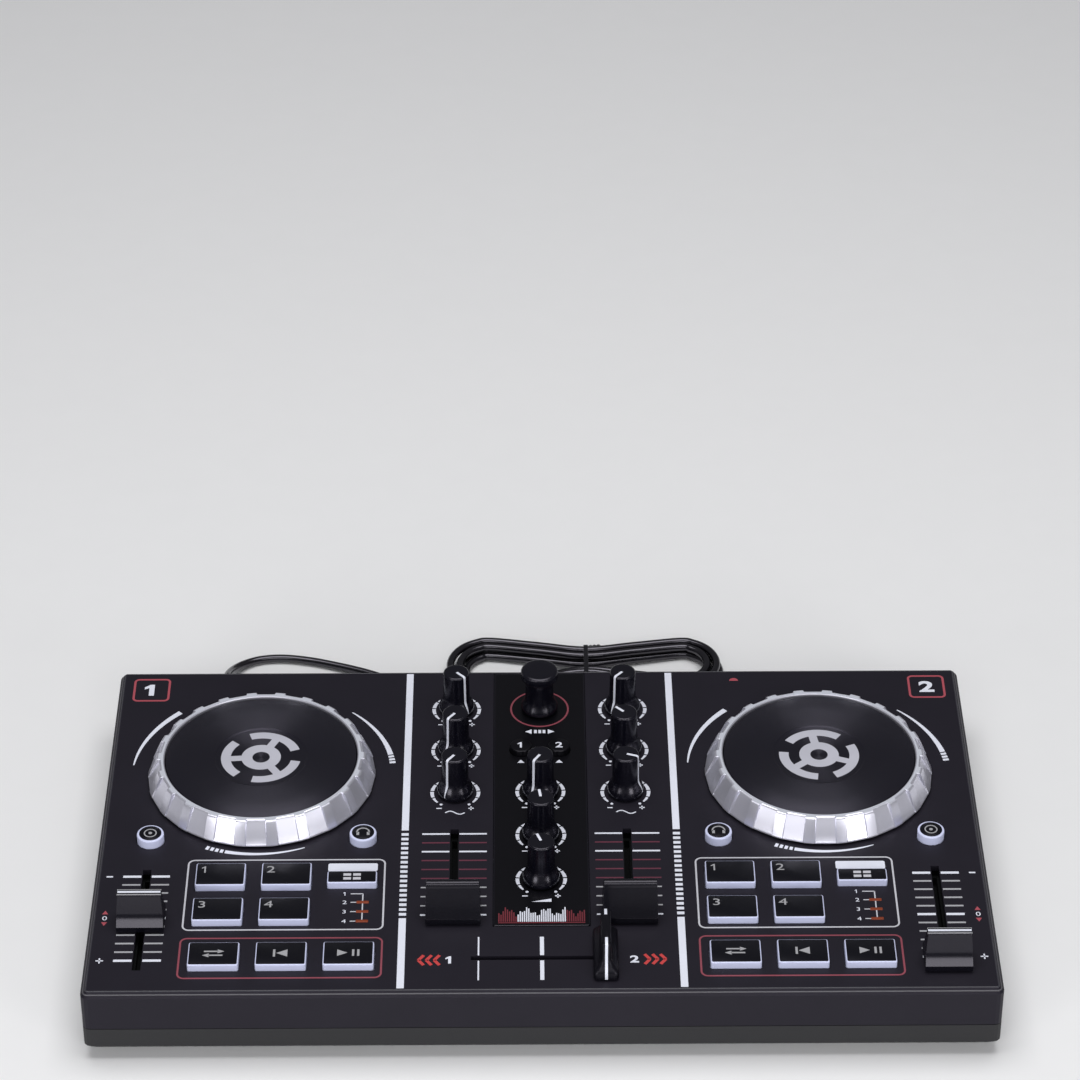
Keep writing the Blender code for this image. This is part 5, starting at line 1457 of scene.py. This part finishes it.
# %% [markdown]
# Round every knob run two broken arcs that swell in the middle and end in a dot, with a minus and a plus
# below. Small waves stand for the three tones, one slow wave for the low one and three quick ones for the
# high one, and a wedge stands for a level.

# %% Knob scales
ARC_RADIUS = 9.6 * MM
ARC_CUTS = ((32, 54, 0.35, 1.0), (58, 82, 1.25, 1.55), (86, 108, 1.55, 1.35), (112, 131, 1.2, 0.7))


def knob_scale(at, ink):
    """Left and right arcs of four segments each, with widths that change along them, and two end dots."""
    shapes = []
    for way in (-1, 1):
        for start, end, first, last in ARC_CUTS:
            line = compass(at, ARC_RADIUS, way * start, way * end, 10)
            shapes.append(band(line, np.linspace(first, last, len(line)) * MM, *ink))
        shapes.append(disc(compass(at, ARC_RADIUS, way * 143, way * 143, 1)[0], 0.62 * MM, *ink, 16))
    return shapes


def signs_below(at, ink):
    """A minus at the low end of a scale and a plus at its high end."""
    low_end, high_end = at + (-6.6 * MM, -10.2 * MM), at + (6.6 * MM, -10.2 * MM)
    shapes = [bar(low_end, (2.2 * MM, 0.6 * MM), *ink), bar(high_end, (2.2 * MM, 0.6 * MM), *ink)]
    return shapes + [bar(high_end, (0.6 * MM, 2.2 * MM), *ink)]


def wave_sign(at, waves, ink):
    """A sine line of some whole waves."""
    share = np.linspace(0, 1, 16 * waves + 1)
    line = np.column_stack([at[0] + 8 * MM * (share - 0.5), at[1] + 1.0 * MM * np.sin(TURN * waves * share)])
    return band(line, 0.55 * MM, *ink)


def ramp_sign(at, ink):
    """A wedge that grows to the right, for a level."""
    return plate(np.array([(-4.0, -0.9), (4.0, -0.9), (4.0, 1.0)]) * MM + at, *ink)


BROWSE_SIGN = 15.6 * MM
face_ink = inked(FACE)
face_white = []
for side, _ in SIDES:
    for waves, tone in enumerate(("bass", "mid", "treble"), 1):
        at = middle_of(f"{tone}_knob_{side}")
        white += knob_scale(at, panel_ink)
        white += signs_below(at, panel_ink)
        white.append(wave_sign(at + (0.0, -13.0 * MM), waves, panel_ink))
for node in ("master_gain_knob", "cue_mix_knob", "cue_gain_knob"):
    at = middle_of(node)
    face_white += knob_scale(at, face_ink) + signs_below(at, face_ink)
    face_white.append(ramp_sign(at + (0.0, -12.9 * MM), face_ink))
wine.append(ring(browse_at, 12.1 * MM, 0.75 * MM, *face_ink, 96))
for way in (-1, 1):
    tip = browse_at + (way * 6.2 * MM, -BROWSE_SIGN)
    face_white.append(pointer_head(tip, 2.8 * MM, 1.5 * MM, (way, 0), *face_ink))
    face_white.append(pointer_head((way * 8.0 * MM, 41.0 * MM), 2.0 * MM, 1.5 * MM, (0, 1), *face_ink))
for x in (-1.8, 0.0, 1.8):
    face_white.append(bar(browse_at + (x * MM, -BROWSE_SIGN), (1.2 * MM, 2.2 * MM), *face_ink))
print(f"knob scales: {len(face_white)} shapes on the faceplate")

# %% [markdown]
# At the front of the faceplate stands a row of bars, like a level meter: red on both sides and white in the
# middle. Their heights follow two sine waves of different length, so the row looks lively and is still the
# same each time.

# %% Level bars and lamps
METER_Y = -62.2 * MM
METER_WHITE = 9.5 * MM
METER_BARS = 41
METER_BAR_WIDTH = 0.52 * MM
meter_x = np.linspace(-17.0, 17.0, METER_BARS) * MM
meter_wave = 0.5 + 0.3 * np.sin(meter_x / (1.25 * MM)) + 0.2 * np.sin(meter_x / (0.47 * MM) + 1.0)
meter_height = (3.0 + 6.0 * meter_wave) * MM
face_deep_red = []
for x, height in zip(meter_x, meter_height):
    shade = face_white if abs(x) < METER_WHITE else face_deep_red
    shade.append(bar((x, METER_Y + height / 2), (METER_BAR_WIDTH, height), *face_ink))
face_deep_red.append(bar((0.0, METER_Y - 0.6 * MM), (34.6 * MM, 0.5 * MM), *face_ink))
piece("ink_white_lines", [(shape, ink_white) for shape in white + face_white])
piece("ink_pale_lines", [(shape, ink_pale) for shape in pale] + [(shape, ink_dim) for shape in dim])
red_shades = ((red, ink_red), (bright_red, ink_bright_red), (dark_red, ink_dark_red))
red_shades += ((wine, ink_wine), (face_deep_red, ink_deep_red))
piece("ink_red_lines", [(shape, ink) for shapes, ink in red_shades for shape in shapes])


def lamp_lens(at):
    """A small window that stands just proud of the panel."""
    rows = [(2.5, 0.75, -0.6), (2.5, 0.75, 0.1), (2.42, 0.67, 0.22), (2.2, 0.45, 0.28)]
    return stacked([(x * MM, y * MM, 0.25 * MM, PANEL + z * MM) for x, y, z in rows], at, 3)


lamps = []
for side, _ in SIDES:
    lamps += [(lamp_lens((lamp_column(side), y)), lamp_orange) for y in LAMP_ROWS]
piece("mode_lamps", lamps)
print(f"level bars: {len(meter_x)}, lamps: {len(lamps)}")

# %% [markdown]
# ## Underside and rear
# Four rubber feet carry the case, eight screws close it, and each socket has a thin steel bushing. The cross
# in a screw head is a height field on rings: points near either arm of the cross and inside its reach sink.

# %% Feet, screws and bushings
foot_wall = [(0.0, 3.25), (6.9, 3.25), (7.0, 2.6), (7.0, 0.9), (6.75, 0.35)]
foot_sole = [(6.2, 0.05), (5.2, 0.0), (4.4, 0.25), (0.0, 0.3)]
foot_profile = np.array(foot_wall + foot_sole) * MM
feet = [f"foot_{end}_{side}" for end in ("front", "rear") for side, _ in SIDES]
foot_patches = [(turned(foot_profile, middle_of(node), 40), rubber) for node in feet]
piece("rubber_feet", foot_patches, instead_of=feet)
CASE_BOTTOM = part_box("bottom_case")[0].z


def screw_head(at):
    """A pan head seen from below: a dome of rings, with a cross sunk into it."""
    radius = np.array([0.0, 0.3, 0.6, 0.9, 1.2, 1.5, 1.8, 2.0, 2.1, 2.1, 0.0]) * MM
    level = np.array([0.45, 0.45, 0.46, 0.5, 0.56, 0.64, 0.76, 0.9, 1.1, 2.2, 2.2]) * MM
    angle = np.arange(48) * TURN / 48
    x, y = np.outer(radius, np.cos(angle)), np.outer(radius, np.sin(angle))
    arm = (np.minimum(np.abs(x), np.abs(y)) < 0.24 * MM) & (radius < 1.3 * MM)[:, None]
    z = CASE_BOTTOM + level[:, None] + np.where(arm & (level < 0.9 * MM)[:, None], 0.7 * MM, 0.0)
    return skin(np.stack([at[0] + x, at[1] + y, z], axis=-1), wrap_v=True)


SCREW_X = (55.2 * MM, 136.0 * MM)
SCREW_Y = 82 * MM
screw_places = [(sx * x, sy * SCREW_Y) for x in SCREW_X for sx in (-1, 1) for sy in (-1, 1)]
piece("case_screws", [(screw_head(at), steel) for at in screw_places], edge=30.0)
JACK_LEVEL = 25.1 * MM
bushing_bore = [(1.85, -1.4), (1.85, -0.4)]
bushing_face = [(2.0, -0.1), (2.65, -0.1), (2.8, -0.3), (2.8, -1.4)]
bushing = np.array(bushing_bore + bushing_face + bushing_bore[:1]) * MM
bushings = [
    (turned_along_y(bushing, (middle_of(node)[0], BACK_WALL, JACK_LEVEL)), steel)
    for node in ("main_output_jack", "headphone_jack")
]
piece("socket_bushings", bushings)
print(f"underside: {len(feet)} feet, {len(screw_places)} screws, {len(bushings)} bushings")
